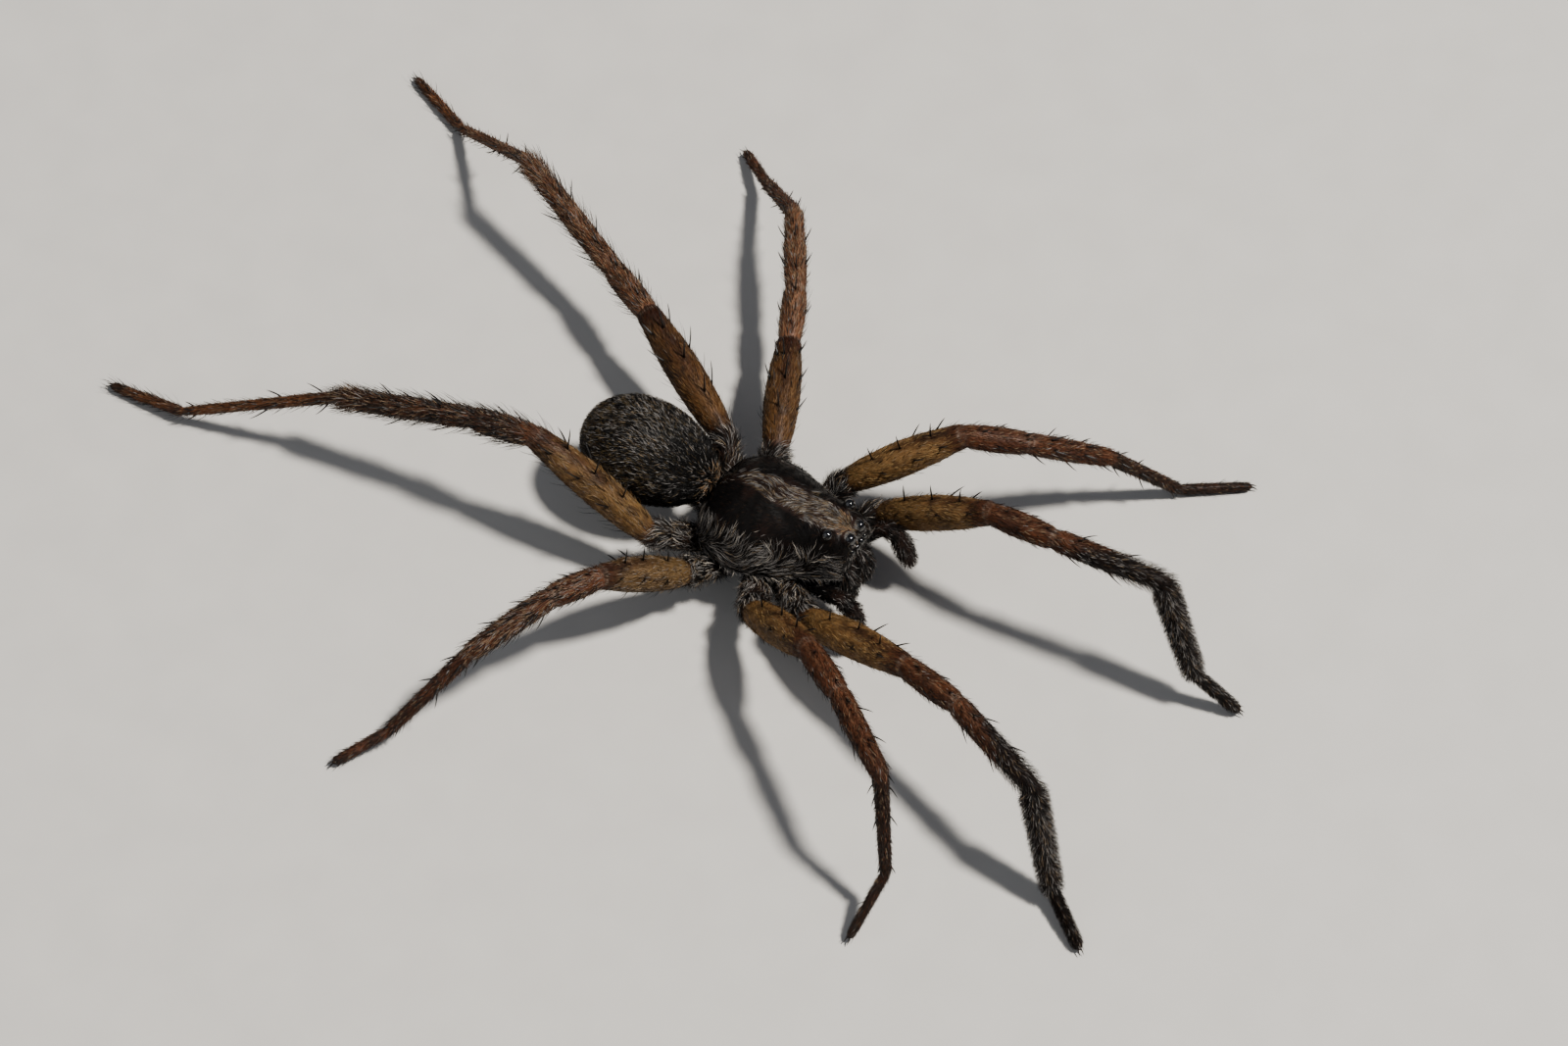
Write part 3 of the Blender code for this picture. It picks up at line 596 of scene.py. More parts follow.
def furrow(lateral, forward, end, width, depth):
    """One furrow from the thorax's slit outwards, the same on both sides."""
    reach = np.array(end) - FURROW_START
    from_start = np.stack([lateral, forward], axis=1) - FURROW_START
    t = np.clip(from_start @ reach / (reach @ reach), 0, 1)
    away = np.linalg.norm(from_start - t[:, None] * reach, axis=1)
    return -depth * peak(away, width) * ramp(0.0, 0.25, t)


def shell_relief(points, normals):
    """How far each point of the shell is raised: furrows, the thorax's slit and a collar round each eye."""
    lateral, forward = np.abs(points[:, 0]), -points[:, 1]
    slit = peak(lateral, 0.05) * ramp(-1.05, -0.85, forward) * ramp(-0.15, -0.35, forward)
    lift = -0.10 * slit
    for *end, width, depth in FURROWS:
        lift += furrow(lateral, forward, end, width, depth)
    lift *= ramp(0.25, 0.55, normals[:, 2])
    for (eye, (*centre, radius)), sign in itertools.product(EYES.items(), (1, -1)):
        away = np.linalg.norm(points - place(centre) * (sign, 1, 1), axis=1) - radius
        if eye.startswith("posterior"):
            lift += 0.50 * radius * peak(away, 0.085) + 0.03 * peak(away, 0.22)
        else:
            lift -= 0.07 * peak(away, 0.11)
    return lift + (0.010 * (noise(points, 0.20, 11) - 0.5) + 0.03 * (noise(points, 0.9, 12) - 0.5))


def make_carapace_mesh():
    """The shell over the forebody, with a rounded rim, a face in front and a flat underside."""
    forward = np.concatenate([np.linspace(SHELL_BACK, HEAD_START, BACK_STATIONS, endpoint=False),
                              np.linspace(HEAD_START, SHELL_FRONT, HEAD_STATIONS)])
    half, top, margin, square = carapace_section(forward)
    turn = np.linspace(-math.pi / 2, math.pi / 2, ARC_POINTS)
    across = np.sign(turn) * np.abs(np.sin(turn)) ** (2 / square[:, None])
    above = np.cos(turn).clip(0) ** (2 / square[:, None])
    arch = np.stack([half[:, None] * across, -np.repeat(forward[:, None], ARC_POINTS, 1),
                     margin[:, None] + (top - margin)[:, None] * above], axis=-1)
    low = np.maximum(margin - RIM_DROP, SHELL_FLOOR)
    rim = [(share, margin - (margin - low) * drop) for share, drop in RIM]
    under = [np.stack([sign * share * half, -forward, height], axis=-1)[:, None]
             for sign, row in ((1, rim), (-1, rim[::-1])) for share, height in row]
    rings = np.concatenate([arch] + under, axis=1)
    front, back = [], []
    for shrink in np.linspace(0.97, 0.05, CAP_RINGS):
        bulge = math.sqrt(1 - shrink ** 2)
        for cap, ring, sink, swell in ((front, rings[-1], -0.08, -0.03), (back, rings[0], 0.0, 0.20)):
            middle = ring.mean(axis=0) + (0, 0, sink)
            cap.append(middle + (ring - middle) * shrink + (0, swell * bulge, 0))
    stack = np.concatenate([np.array(back[::-1]), rings, np.array(front)])
    points = stack.reshape(-1, 3)
    mesh = solid_mesh("carapace_shell", points, grid_faces(*stack.shape[:2]))
    normals = rows_of(mesh.vertex_normals, "vector")
    set_points(mesh, points + normals * (shell_relief(points, normals) - SHELL_INSET)[:, None])
    return mesh


def carapace_fields(points):
    """For points on the shell: how far down from the ridge (1 at the rim), and the strength of each band."""
    forward, lateral = -points[:, 1], points[:, 0]
    _, top, margin, _ = carapace_section(forward)
    down = np.clip(1 - (points[:, 2] - margin) / (top - margin), 0, 1)
    wander = (noise(points, 0.45, 21) - 0.5) * 0.22
    middle = curve(forward, MEDIAN_BAND)[:, 0]
    median = ramp(0.10, -0.12, np.abs(lateral) - middle + wander)
    median = median * ramp(-2.35, -1.9, forward) * ramp(3.98, 3.78, forward)
    dark_core = peak(np.abs(lateral) - wander * 0.5, 0.17) * ramp(1.3, 0.2, forward)
    cheek = ramp(2.3, 2.9, forward) * ramp(0.30, 0.48, down + wander)
    ring = np.zeros(len(points))
    for name in ("posterior_median", "anterior_median", "anterior_lateral"):
        *centre, radius = EYES[name]
        mirrored = points * (np.sign(lateral)[:, None] * (1, 0, 0) + (0, 1, 1))
        away = np.linalg.norm(mirrored - place(centre), axis=1) - radius
        ring = np.maximum(ring, peak(away, 0.07, 0.06))
    return SimpleNamespace(
        down=down, median=median * (1 - 0.72 * dark_core), ring=ring, face=ramp(3.85, 4.05, forward),
        rim=ramp(0.30, 0.56, down + wander * 0.8) * ramp(3.2, 2.3, forward),
        cheek=cheek * ramp(4.05, 3.8, forward))


def carapace_colours(points):
    """Black with brown shadows, browner under the pale band."""
    fields = carapace_fields(points)
    colours = layered(
        SHELL_BLACK,
        (SHELL_SHADOW, ramp(0.4, 0.9, noise(points, 0.6, 22))),
        (SHELL_BAND, fields.median * 0.7),
        (SHELL_RIM, np.maximum(fields.rim, fields.cheek) * 0.6))
    return colours * (0.85 + 0.3 * noise(points, 0.12, 23))[:, None]


# ---- hair ----
class Surface:
    """Triangles of a mesh, for planting hair."""

    def __init__(self, mesh):
        mesh.calc_loop_triangles()
        corners = np.zeros(len(mesh.loop_triangles) * 3, np.int32)
        mesh.loop_triangles.foreach_get("vertices", corners)
        self.points, self.normals = rows_of(mesh.vertices, "co"), rows_of(mesh.vertex_normals, "vector")
        self.triangles = corners.reshape(-1, 3)
        a, b, c = (self.points[self.triangles[:, k]] for k in range(3))
        self.centres = (a + b + c) / 3
        self.areas = np.linalg.norm(np.cross(b - a, c - a), axis=1) / 2

    def scatter(self, density):
        """Roots and normals, this many to the square millimetre of each triangle."""
        total = np.cumsum(self.areas * density)
        count = int(total[-1] * HAIR_SHARE)
        stops = (np.arange(count) + RNG.random(count)) * total[-1] / count
        chosen = np.searchsorted(total, stops).clip(0, len(total) - 1)
        u, v = RNG.random(count), RNG.random(count)
        over = u + v > 1
        u[over], v[over] = 1 - u[over], 1 - v[over]
        corners = self.triangles[chosen]
        shares = np.stack([1 - u - v, u, v], axis=1)[:, :, None]
        return (self.points[corners] * shares).sum(1), unit((self.normals[corners] * shares).sum(1))


def comb(flow, normals, turn):
    """Directions that follow the flow in the surface, turned about its normals by these radians."""
    flow = np.broadcast_to(flow, normals.shape)
    along = unit(flow - normals * np.einsum("ij,ij->i", flow, normals)[:, None])
    across = np.cross(normals, along)
    return along * np.cos(turn)[:, None] + across * np.sin(turn)[:, None]


BLADE_TAPER = np.array([1.0, 0.95, 0.7])       # half width at each ring below the tip, against the whole
BLADE_SINK, BLADE_ROLL, UV_PATCH = 0.012, 1.9, 0.003


def blades(roots, normals, directions, length, width, lean, droop, curl, colours, uv,
           rings=4, shade=(0.7, 1.15)):
    """Thin tapering blades: points, triangles, vertex colours and map places."""
    count = len(roots)
    length, width, lean, droop, curl = (np.broadcast_to(column, count)[:, None]
                                        for column in (length, width, lean, droop, curl))
    share = np.linspace(0, 1, rings)
    across = np.cross(normals, directions)
    roll = (RNG.random(count) - 0.5)[:, None] * BLADE_ROLL
    flat = across * np.cos(roll) + normals * np.sin(roll)
    rise = length * np.sin(lean) * (share - droop * share ** 2) - BLADE_SINK
    run = length * np.cos(lean) * share
    drift = length * curl * share ** 2
    spine = (roots[:, None] + directions[:, None] * run[..., None] + normals[:, None] * rise[..., None]
             + across[:, None] * drift[..., None])
    half = (width / 2 * BLADE_TAPER[:rings - 1])[..., None]
    left = spine[:, :-1] - flat[:, None] * half
    right = spine[:, :-1] + flat[:, None] * half
    body = np.stack([left, right], axis=2).reshape(count, -1, 3)
    points = np.concatenate([body, spine[:, -1:]], axis=1)
    each = points.shape[1]
    pattern = []
    for k in range(0, each - 3, 2):
        pattern += [(k, k + 1, k + 3), (k, k + 3, k + 2)]
    pattern.append((each - 3, each - 2, each - 1))
    triangles = (np.arange(count)[:, None, None] * each + np.array(pattern)).reshape(-1, 3)
    tone = np.repeat(np.linspace(*shade, rings), 2)[:each]
    tints = colours[:, None] * tone[None, :, None]
    patch = np.stack([np.tile((0.0, 1.0), rings)[:each], np.repeat(share, 2)[:each]], axis=1) * UV_PATCH
    places = uv[:, None] + patch
    return points.reshape(-1, 3), triangles, tints.reshape(-1, 3), places.reshape(-1, 2)


def add_coat(name, chunks):
    """One piece of coat from all the blades in these chunks."""
    points, tints, places = (np.concatenate([chunk[k] for chunk in chunks]) for k in (0, 2, 3))
    starts = np.cumsum([0] + [len(chunk[0]) for chunk in chunks])
    triangles = np.concatenate([chunk[1] + start for chunk, start in zip(chunks, starts)])
    corners = triangles.reshape(-1).astype(np.int32)
    mesh = bpy.data.meshes.new(name)
    mesh.vertices.add(len(points))
    set_points(mesh, to_frame(points))
    mesh.loops.add(len(corners))
    mesh.loops.foreach_set("vertex_index", corners)
    mesh.polygons.add(len(triangles))
    mesh.polygons.foreach_set("loop_start", np.arange(0, len(corners), 3, dtype=np.int32))
    mesh.update(calc_edges=True)
    mesh.shade_smooth()
    set_colours(mesh, tints)
    layer = mesh.uv_layers.new(name="OFBake")
    layer.data.foreach_set("uv", places[corners].astype(np.float32).ravel())
    add_piece(name, mesh, HAIR)


def shades(**shares):
    """A row with the share of every shade of the palette."""
    return np.array([shares.get(name, 0.0) for name in PALETTE])


def pick(rows):
    """One colour by chance for each row of shades."""
    total = np.cumsum(rows, axis=1)
    draw = RNG.random(len(rows)) * total[:, -1]
    return np.array(list(PALETTE.values()))[(draw[:, None] > total).sum(1).clip(0, len(PALETTE) - 1)]


COAT_COLUMNS = ("density", "length", "width", "lean", "pale_share", "pale_width")
LIMB_COAT = {               # density in hairs to the square millimetre, lean in degrees
    COXA: (260, .60, .018, 27, .34, .022), FEMUR: (220, .36, .016, 14, .26, .023),
    PATELLA: (220, .32, .017, 20, .16, .024), TIBIA: (240, .34, .018, 24, .18, .024),
    METATARSUS: (330, .28, .018, 26, .08, .022), TARSUS: (420, .24, .017, 30, .06, .020),
    PALP_FEMUR: (300, .32, .019, 30, .08, .024), PALP_TIBIA: (320, .38, .019, 44, .10, .024),
    PALP_TARSUS: (400, .36, .019, 50, .09, .024), ON_TRUNK: (200, .30, .022, 22, .06, .026),
    ON_WAIST: (420, .75, .024, 58, .10, .030), ON_ABDOMEN: (0, .30, .020, 20, 0, .020),
}
BRISTLE_DENSITY = np.array((48, 16, 16, 32, 42))       # by pair, the palps first
BRISTLE_LENGTH = np.array((.50, .50, .50, .62, .92))
FEMUR_BRISTLE_DENSITY, ABDOMEN_DENSITY, JAW_DENSITY = 7, 800, 300
UNDER_SHELL_FLOOR, UNDER_SHELL_HALF_WIDTH, UNDER_SHELL_FRONT, UNDER_SHELL_BACK = 2.75, 1.9, -2.2, 2.0
TRUNK_MAP_FRONT, TRUNK_MAP_LENGTH, TRUNK_MAP_WIDTH = 6, 16, 8
SHELL_MAP_BACK, SHELL_MAP_LENGTH = 2.6, 6.9
COAT_PIECES = [f"leg_{pair}_{side}" for pair, side, _, _ in LIMBS if pair] + ["palps_and_trunk"]


def coat_piece(limb):
    """Which piece of coat a limb's hair goes to; both palps share the last."""
    return np.minimum(limb, len(COAT_PIECES) - 1)


def by_kind(kind, column):
    """For each point, a value from the table of the limbs' coat."""
    values = np.zeros(len(kind))
    for key, row in LIMB_COAT.items():
        values[kind == key] = row[COAT_COLUMNS.index(column)]
    return values


def limb_shades(at):
    """How likely each shade is for a hair and for a pale stroke, from the limb part it grows on."""
    kind, share, pair = at.kind, at.share, at.pair
    crest = peak(at.angle, 0.40)
    hind = np.where(pair == 3, 1.0, np.where(pair == 4, 0.5, 0.0)) * np.where(at.right, 1.0, 0.4)
    outer_end, tip = ramp(.5, 1, share) * (kind == TARSUS) * .6, ramp(.78, .97, share) * .8
    sooty, grey, soot = shades(soot=.80, umber=.20), shades(ash=.75, tan=.25), tibia_soot(at)
    femur = layered(
        shades(gold=.34, olive=.34, umber=.26, rust=.06),
        (shades(tan=.20, olive=.42, umber=.30, ash=.08), hind),
        (shades(umber=.55, soot=.30, rust=.15), crest * ramp(.1, .6, share)),
        (shades(rust=.40, umber=.40, soot=.20), tip))
    golden = layered(
        shades(gold=.70, tan=.30),
        (shades(tan=.60, ash=.20, gold=.20), hind),
        (shades(rust=.6, umber=.4), ramp(.75, .95, share)))
    shank = layered(
        shades(rust=.42, umber=.36, soot=.22),
        (shades(umber=.50, soot=.50), crest * 0.7),
        (shades(umber=.31, soot=.17, tan=.34, rust=.06, ash=.12), (pair >= 3) * 0.85),
        (shades(rust=.40, tan=.36, umber=.24), at.left_hind * 0.8),
        (sooty, soot))
    foot = layered(
        shades(rust=.42, umber=.34, soot=.18, tan=.06),
        (sooty, np.where(pair == 1, 1.0, outer_end)),
        (shades(umber=.62, soot=.38), (pair == 2) * .85),
        (shades(rust=.62, tan=.18, umber=.20), at.slim_shin * .9))
    pale = mix(shades(rust=.5, tan=.4, ash=.1), shades(tan=.5, ash=.5), (pair >= 3) * 0.9)
    hair, stroke = np.zeros((2, len(kind), len(PALETTE)))
    for mask, hair_rows, stroke_rows in (
            (kind == FEMUR, femur, golden),
            (at.shank, shank, mix(pale, grey, soot)),
            (at.foot, foot, np.where((pair == 1)[:, None], grey, pale)),
            (kind == COXA, shades(soot=.72, umber=.28), shades(ash=.72, cream=.10, tan=.18)),
            (at.palp, shades(soot=.93, umber=.07), shades(ash=1)),
            (kind == ON_TRUNK, shades(soot=.7, umber=.3), shades(ash=1)),
            (kind == ON_WAIST, shades(soot=.5, umber=.5), shades(apricot=.5, cream=.2, umber=.3))):
        paint(hair, mask, hair_rows)
        paint(stroke, mask, stroke_rows)
    return hair, stroke


def limb_map(at, points):
    """Where on a leg's own unwrap a root lies: a strip for each part, along it and round it."""
    strip = np.where(at.on_limb, at.kind % 6, 5)
    on_trunk = ((points[:, 1] + TRUNK_MAP_FRONT) / TRUNK_MAP_LENGTH).clip(0, 1)
    along = np.where(at.on_limb, at.share * 0.94 + 0.02, 0.05 + 0.9 * on_trunk)
    round_it = np.where(at.on_limb, at.angle / (2 * math.pi) + 0.5, 0.5 + points[:, 0] / TRUNK_MAP_WIDTH)
    return np.stack([along, (strip + 0.03 + 0.92 * round_it.clip(0, 1)) / 6], axis=1)


def limb_hair_sizes(at):
    """Which hairs are pale strokes, and the length, width and lean of every hair."""
    kind, pair, share, count = at.kind, at.pair, at.share, len(at.kind)
    length = by_kind(kind, "length") * vary(count, 0.75, 0.5)
    pale_share = (by_kind(kind, "pale_share")
                  * np.where((kind == FEMUR) & (np.abs(at.angle) < 0.4), 0.5, 1.0)
                  * np.where((kind == METATARSUS) & (pair == 1), 2.2, 1.0)
                  * np.where((kind == COXA) & ~at.right, 0.55, 1.0))
    pale = RNG.random(count) < pale_share
    width = np.where(pale, by_kind(kind, "pale_width"), by_kind(kind, "width"))
    lean = np.radians(by_kind(kind, "lean")) * vary(count, 0.7, 0.6)
    lean = np.where(RNG.random(count) < 0.18, lean * 2.2, lean)
    brushed_tibia = (kind == TIBIA) * 0.7 * ramp(.35, .8, share)
    brush = (pair == 1) * ((kind == METATARSUS) * 1.0 + brushed_tibia + (kind == TARSUS) * 0.35)
    cuff = (pair == 4) * (kind == TIBIA) * ramp(.50, .92, share)
    toe = (kind == TARSUS) * ramp(0.80, 0.97, share)
    length = length * (1 + 0.9 * brush) * (1 + 0.7 * cuff) * (1 - 0.45 * toe)
    lean = (lean + brush * np.radians(34) + cuff * np.radians(14)) * (1 - 0.5 * toe)
    return pale, length, width * (1 - 0.2 * brush), lean


def limb_coat(surface):
    """Hair of the legs, palps, sternum and waist, grouped by the piece it goes to."""
    at = locate(surface.centres)
    density = by_kind(at.kind, "density") * np.where(at.foot & (at.pair == 1), 2.1, 1.0)
    roots, normals = surface.scatter(density * np.where(at.slim_shin, 0.75, 1.0))
    lateral, back, height = roots.T
    under_shell = ((height > UNDER_SHELL_FLOOR) & (np.abs(lateral) < UNDER_SHELL_HALF_WIDTH)
                   & (back > UNDER_SHELL_FRONT) & (back < UNDER_SHELL_BACK))
    roots, normals = roots[~under_shell], normals[~under_shell]
    at = locate(roots)
    kind, count = at.kind, len(roots)
    swirl = (noise(roots, 0.7, 31) - 0.5) * 2
    wild = RNG.normal(0, 1, count)
    turn = np.where(kind == COXA, swirl + wild * 0.22, swirl * 0.35 + wild * 0.13)
    directions = comb(np.where(at.on_limb[:, None], at.axis, (0.0, 1.0, -0.1)), normals, turn)
    pale, length, width, lean = limb_hair_sizes(at)
    hair, stroke = limb_shades(at)
    colours = pick(np.where(pale[:, None], stroke, hair)) * vary(count, 0.75, 0.5)[:, None]
    follow = np.where(kind == FEMUR, 0.55, np.where(kind == COXA, 0.05, 0.35)) * np.where(pale, 0.4, 1.0)
    colours = mix(colours, skin_colours(roots, at) * 1.20, follow)
    colours *= np.where((kind == FEMUR) & (at.pair <= 2), 1.25, 1.0)[:, None]
    # painted shade on the coat of the left hind femora, as on their skin, with a redder tone as well
    colours = toned(colours, (kind == FEMUR) & at.left_hind, (0.58, 0.50, 0.44))
    curl = np.where(kind == COXA, swirl * 0.6, RNG.normal(0, 0.12, count))
    droop = np.where(lean > 0.6, 0.42, 0.80)
    uv = limb_map(at, roots)
    piece = np.where(at.on_limb, coat_piece(at.limb), len(COAT_PIECES) - 1)
    pieces = {}
    for i, name in enumerate(COAT_PIECES):
        mine = (piece == i) & (kind != ON_ABDOMEN)
        pieces[name] = [blades(*(column[mine] for column in (roots, normals, directions, length, width, lean,
                                                             droop, curl, colours, uv)))]
    return pieces


def add_bristles(surface, pieces):
    """Longer dark bristles that stand out of the coat of the outer legs, most on the fourth pair."""
    at = locate(surface.centres)
    bristled = (at.kind >= PATELLA) & (at.kind < OFF_LIMBS)
    density = np.where(bristled, BRISTLE_DENSITY[at.pair], (at.kind == FEMUR) * FEMUR_BRISTLE_DENSITY)
    density = density * np.where(at.left_hind, 0.6, 1.0) * np.where(at.slim_shin, 0.6, 1.0)
    roots, normals = surface.scatter(density)
    at = locate(roots)
    count = len(roots)
    directions = comb(at.axis, normals, RNG.normal(0, 0.16, count))
    length = BRISTLE_LENGTH[at.pair] * np.where(at.kind >= METATARSUS, 0.72, 1.0) * vary(count, 0.6, 0.7)
    lean = np.radians(np.where(at.kind == FEMUR, 34, 30) * vary(count, 0.7, 0.7))
    colours = np.where(RNG.random(count)[:, None] < 0.8, PALETTE["soot"], PALETTE["umber"])
    uv = limb_map(at, roots)
    for limb in range(len(LIMBS)):
        mine = at.on_limb & (at.limb == limb)
        pieces[COAT_PIECES[coat_piece(limb)]].append(
            blades(roots[mine], normals[mine], directions[mine], length[mine], 0.026, lean[mine], 0.35, 0.0,
                   colours[mine], uv[mine], shade=(0.9, 1.0)))


def abdomen_coat(surface):
    """Dense short hair combed to the rear, black in front and olive grey behind, with pale flecks on top."""
    at = locate(surface.centres)
    roots, normals = surface.scatter((at.kind == ON_ABDOMEN) * ABDOMEN_DENSITY)
    count = len(roots)
    lateral, rear, up = ((roots - place(ABDOMEN_CENTRE)) / np.array(ABDOMEN_HALF)).T
    flow = np.stack([0.25 * lateral, np.ones(count), -0.25 * np.sign(up) * (1 - np.abs(up))], axis=1)
    swirl = (noise(roots, 0.8, 41) - 0.5) * 0.9
    directions = comb(flow, normals, swirl + RNG.normal(0, 0.16, count))
    upper = ramp(-0.3, 0.5, up)
    edge = np.clip(ramp(0.25, 0.95, rear) + ramp(0.55, 0.95, np.abs(lateral)), 0, 1)
    tuft = ramp(-0.84, -0.96, rear) * ramp(0.65, 0.25, np.abs(lateral))
    dusk = ramp(-0.05, -0.75, rear)
    hair = layered(
        shades(soot=.80, umber=.06, olive=.10, ash=.04),
        (shades(soot=.58, umber=.12, olive=.27, ash=.03), edge),
        (shades(soot=1), dusk * 0.8))
    stroke = layered(
        shades(ash=.72, tan=.10, olive=.18),
        (shades(olive=.62, ash=.22, umber=.16), edge * 0.8),
        (shades(apricot=.6, cream=.2, tan=.2), tuft))
    flecks = 0.03 + 0.22 * upper * ramp(0.1, 0.8, noise(roots, 0.42, 42))
    pale = RNG.random(count) < flecks * (1 - 0.7 * dusk) + 0.20 * tuft
    colours = pick(np.where(pale[:, None], stroke, hair)) * vary(count, 0.45, 0.60)[:, None]
    standing = RNG.random(count) < 0.24
    length = np.where(pale, 0.34, 0.27) * vary(count, 0.7, 0.6) * (1 + 0.5 * tuft) * (1 + 0.25 * standing)
    lean = np.radians(20) * vary(count, 0.6, 0.8) * (1 + tuft) * np.where(standing, 2.4, 1)
    around = np.arctan2(lateral, up) / (2 * math.pi) + 0.5
    along = np.arccos(np.clip(-rear, -1, 1)) / math.pi
    uv = np.stack([0.01 + 0.975 * around, 0.01 + 0.975 * along], axis=1)
    return blades(roots, normals, directions, length, np.where(pale, 0.020, 0.021), lean, 0.75,
                  RNG.normal(0, 0.15, count), colours, uv, rings=3)


def carapace_map(points, down):
    """The shell's unwrap: front to back, and from the ridge down each side."""
    along = 0.02 + 0.95 * (SHELL_MAP_BACK - points[:, 1]) / SHELL_MAP_LENGTH
    return np.stack([along, 0.5 + 0.47 * np.sign(points[:, 0]) * down], axis=1).clip(0, 0.995)


def shell_in_sight(points):
    """The parts of the shell that may grow hair: not its underside, nor under an eye."""
    in_sight = points[:, 2] > carapace_section(-points[:, 1])[2] - 0.18
    for (*centre, radius), sign in itertools.product(EYES.values(), (1, -1)):
        in_sight &= np.linalg.norm(points - place(centre) * (sign, 1, 1), axis=1) > radius * 1.08
    return in_sight


def carapace_flow(lateral, fields):
    """Which way the shell's hair lies: forward in the band, round the rim, up the sides and down the face."""
    sign, none = np.sign(lateral), np.zeros(len(lateral))
    inward = np.stack([-0.35 * sign * np.clip(np.abs(lateral) / 0.6, 0, 1), none - 1.0, none], axis=1)
    upward = np.stack([sign * 0.25, none - 0.55, none + 0.9], axis=1)
    drooping = np.stack([0.6 * lateral, none - 0.2, none - 1.0], axis=1)
    return layered(
        upward,
        ((0.0, -1.0, 0.10), ramp(0.50, 0.85, fields.down)),
        ((0.0, -1.0, -0.15), fields.cheek),
        (inward, fields.median),
        (drooping, fields.face))


def carapace_coat(surface):
    """Dark down all over the shell, and pale strokes in the middle band, round the rim and on the cheeks."""
    centres = surface.centres
    fields = carapace_fields(centres)
    density = (170 + 310 * fields.median + 150 * np.maximum(fields.rim, fields.cheek) + 180 * fields.face
               + 260 * fields.ring + 150 * ramp(2.9, 3.5, -centres[:, 1]))
    roots, normals = surface.scatter(density * shell_in_sight(centres))
    count = len(roots)
    lateral, forward = roots[:, 0], -roots[:, 1]
    fields = carapace_fields(roots)
    median, ring = fields.median, fields.ring
    sides = np.maximum(fields.rim, fields.cheek) * (1 - median)
    swirl = (noise(roots, 0.65, 51) - 0.5) * 2
    directions = comb(carapace_flow(lateral, fields), normals,
                      swirl * (0.62 - 0.12 * median) + RNG.normal(0, 0.13, count))
    strokes = np.clip(0.52 * median + 0.28 * sides + 0.10 * fields.face + 0.16 * ring, 0, 0.75)
    pale = RNG.random(count) < strokes
    hair = mix(shades(soot=.86, umber=.14), shades(umber=.7, olive=.3), median)
    stroke = layered(
        shades(ash=.82, cream=.10, tan=.08),
        (shades(ash=.58, tan=.38, cream=.04), median),
        (shades(apricot=.40, tan=.56, cream=.04), median * ramp(2.4, 3.5, forward)),
        (shades(ash=.8, tan=.2), ring))
    colours = pick(np.where(pale[:, None], stroke, hair)) * vary(count, 0.5, 0.5)[:, None]
    colours *= (1 - median * (0.14 + 0.34 * ramp(0.40, 0.75, noise(roots, 0.30, 52))))[:, None]
    length = np.where(pale, 0.42 - 0.10 * median + 0.16 * sides, 0.24) * vary(count, 0.7, 0.6)
    length *= 1 - 0.45 * np.maximum(ramp(3.3, 4.0, forward), ring)
    lean = np.radians(14 + 22 * fields.face) * vary(count, 0.6, 0.8)
    curl = swirl * (0.55 - 0.30 * median) - 0.45 * np.sign(lateral) * sides
    return blades(roots, normals, directions, length, np.where(pale, 0.024, 0.022), lean, 0.85, curl, colours,
                  carapace_map(roots, fields.down))


def carapace_bristles(surface):
    """A few standing bristles on the shell, most on the head."""
    centres = surface.centres
    density = 3.0 + 30.0 * ramp(3.2, 3.7, -centres[:, 1])
    roots, normals = surface.scatter(density * shell_in_sight(centres))
    count = len(roots)
    directions = comb((0.0, -1.0, -0.2), normals, RNG.normal(0, 0.5, count))
    return blades(roots, normals, directions, 0.42 * vary(count, 0.6, 0.6), 0.020, np.radians(48), 0.25, 0.0,
                  np.tile(PALETTE["soot"], (count, 1)), carapace_map(roots, carapace_fields(roots).down))


def jaw_coat(surface, share):
    """Bristles down the front of a jaw, none on the fang or the hidden base."""
    furred = (share[surface.triangles].mean(1) < FANG_START - 0.04) & (surface.centres[:, 2] < 3.75)
    roots, normals = surface.scatter(furred * JAW_DENSITY)
    count = len(roots)
    directions = comb((0.0, -0.25, -1.0), normals, RNG.normal(0, 0.22, count))
    rows = np.tile(shades(soot=.76, ash=.10, umber=.14), (count, 1))
    colours = pick(rows) * vary(count, 0.6, 0.5)[:, None]
    length = 0.38 * vary(count, 0.6, 0.9)
    lean = np.radians(34) * vary(count, 0.6, 0.8)
    turn = np.arctan2(normals[:, 0], -normals[:, 1]) / (2 * math.pi) + 0.5
    low, height = surface.points[:, 2].min(), np.ptp(surface.points[:, 2])
    uv = np.stack([0.02 + 0.95 * turn, 0.02 + 0.95 * (roots[:, 2] - low) / height], axis=1)
    return blades(roots, normals, directions, length, 0.024, lean, 0.4, 0.0, colours, uv)


# ---- spines, claws, jaws and eyes ----
SPIKE_TAPER = np.array([1.35, 1.0, .92, .78, .52, .10])
SPINE_BEND, SPINE_SINK, LEAST_TIP_HEIGHT, LONGER_ON_FOURTH = 0.13, 0.02, 0.03, 1.22
SHARE_SPREAD, TURN_SPREAD, LEAN_SPREAD, LENGTH_SPREAD = 0.012, 4, 5, 0.08      # of the spines, by chance
CLAW_LENGTH, CLAW_RADIUS, CLAW_BEND = 0.26, 0.030, 0.42
CLAW_ROOT, CLAW_AIM = (-0.04, 0.05, 0.02), (1.0, 0.18, -0.30)     # past the tip or level, sideways, upward


def spike(root, direction, normal, length, radius, bend, sides):
    """A curved pointed spine with a thickened foot."""
    share = np.linspace(0, 1, len(SPIKE_TAPER))
    centres = root + direction * (length * share)[:, None] + normal * (-bend * length * share ** 2)[:, None]
    upright = normal if abs(direction @ normal) < 0.9 else np.array((1.0, 0.0, 0.0))
    return tube(centres, radius * SPIKE_TAPER, sides, upright)


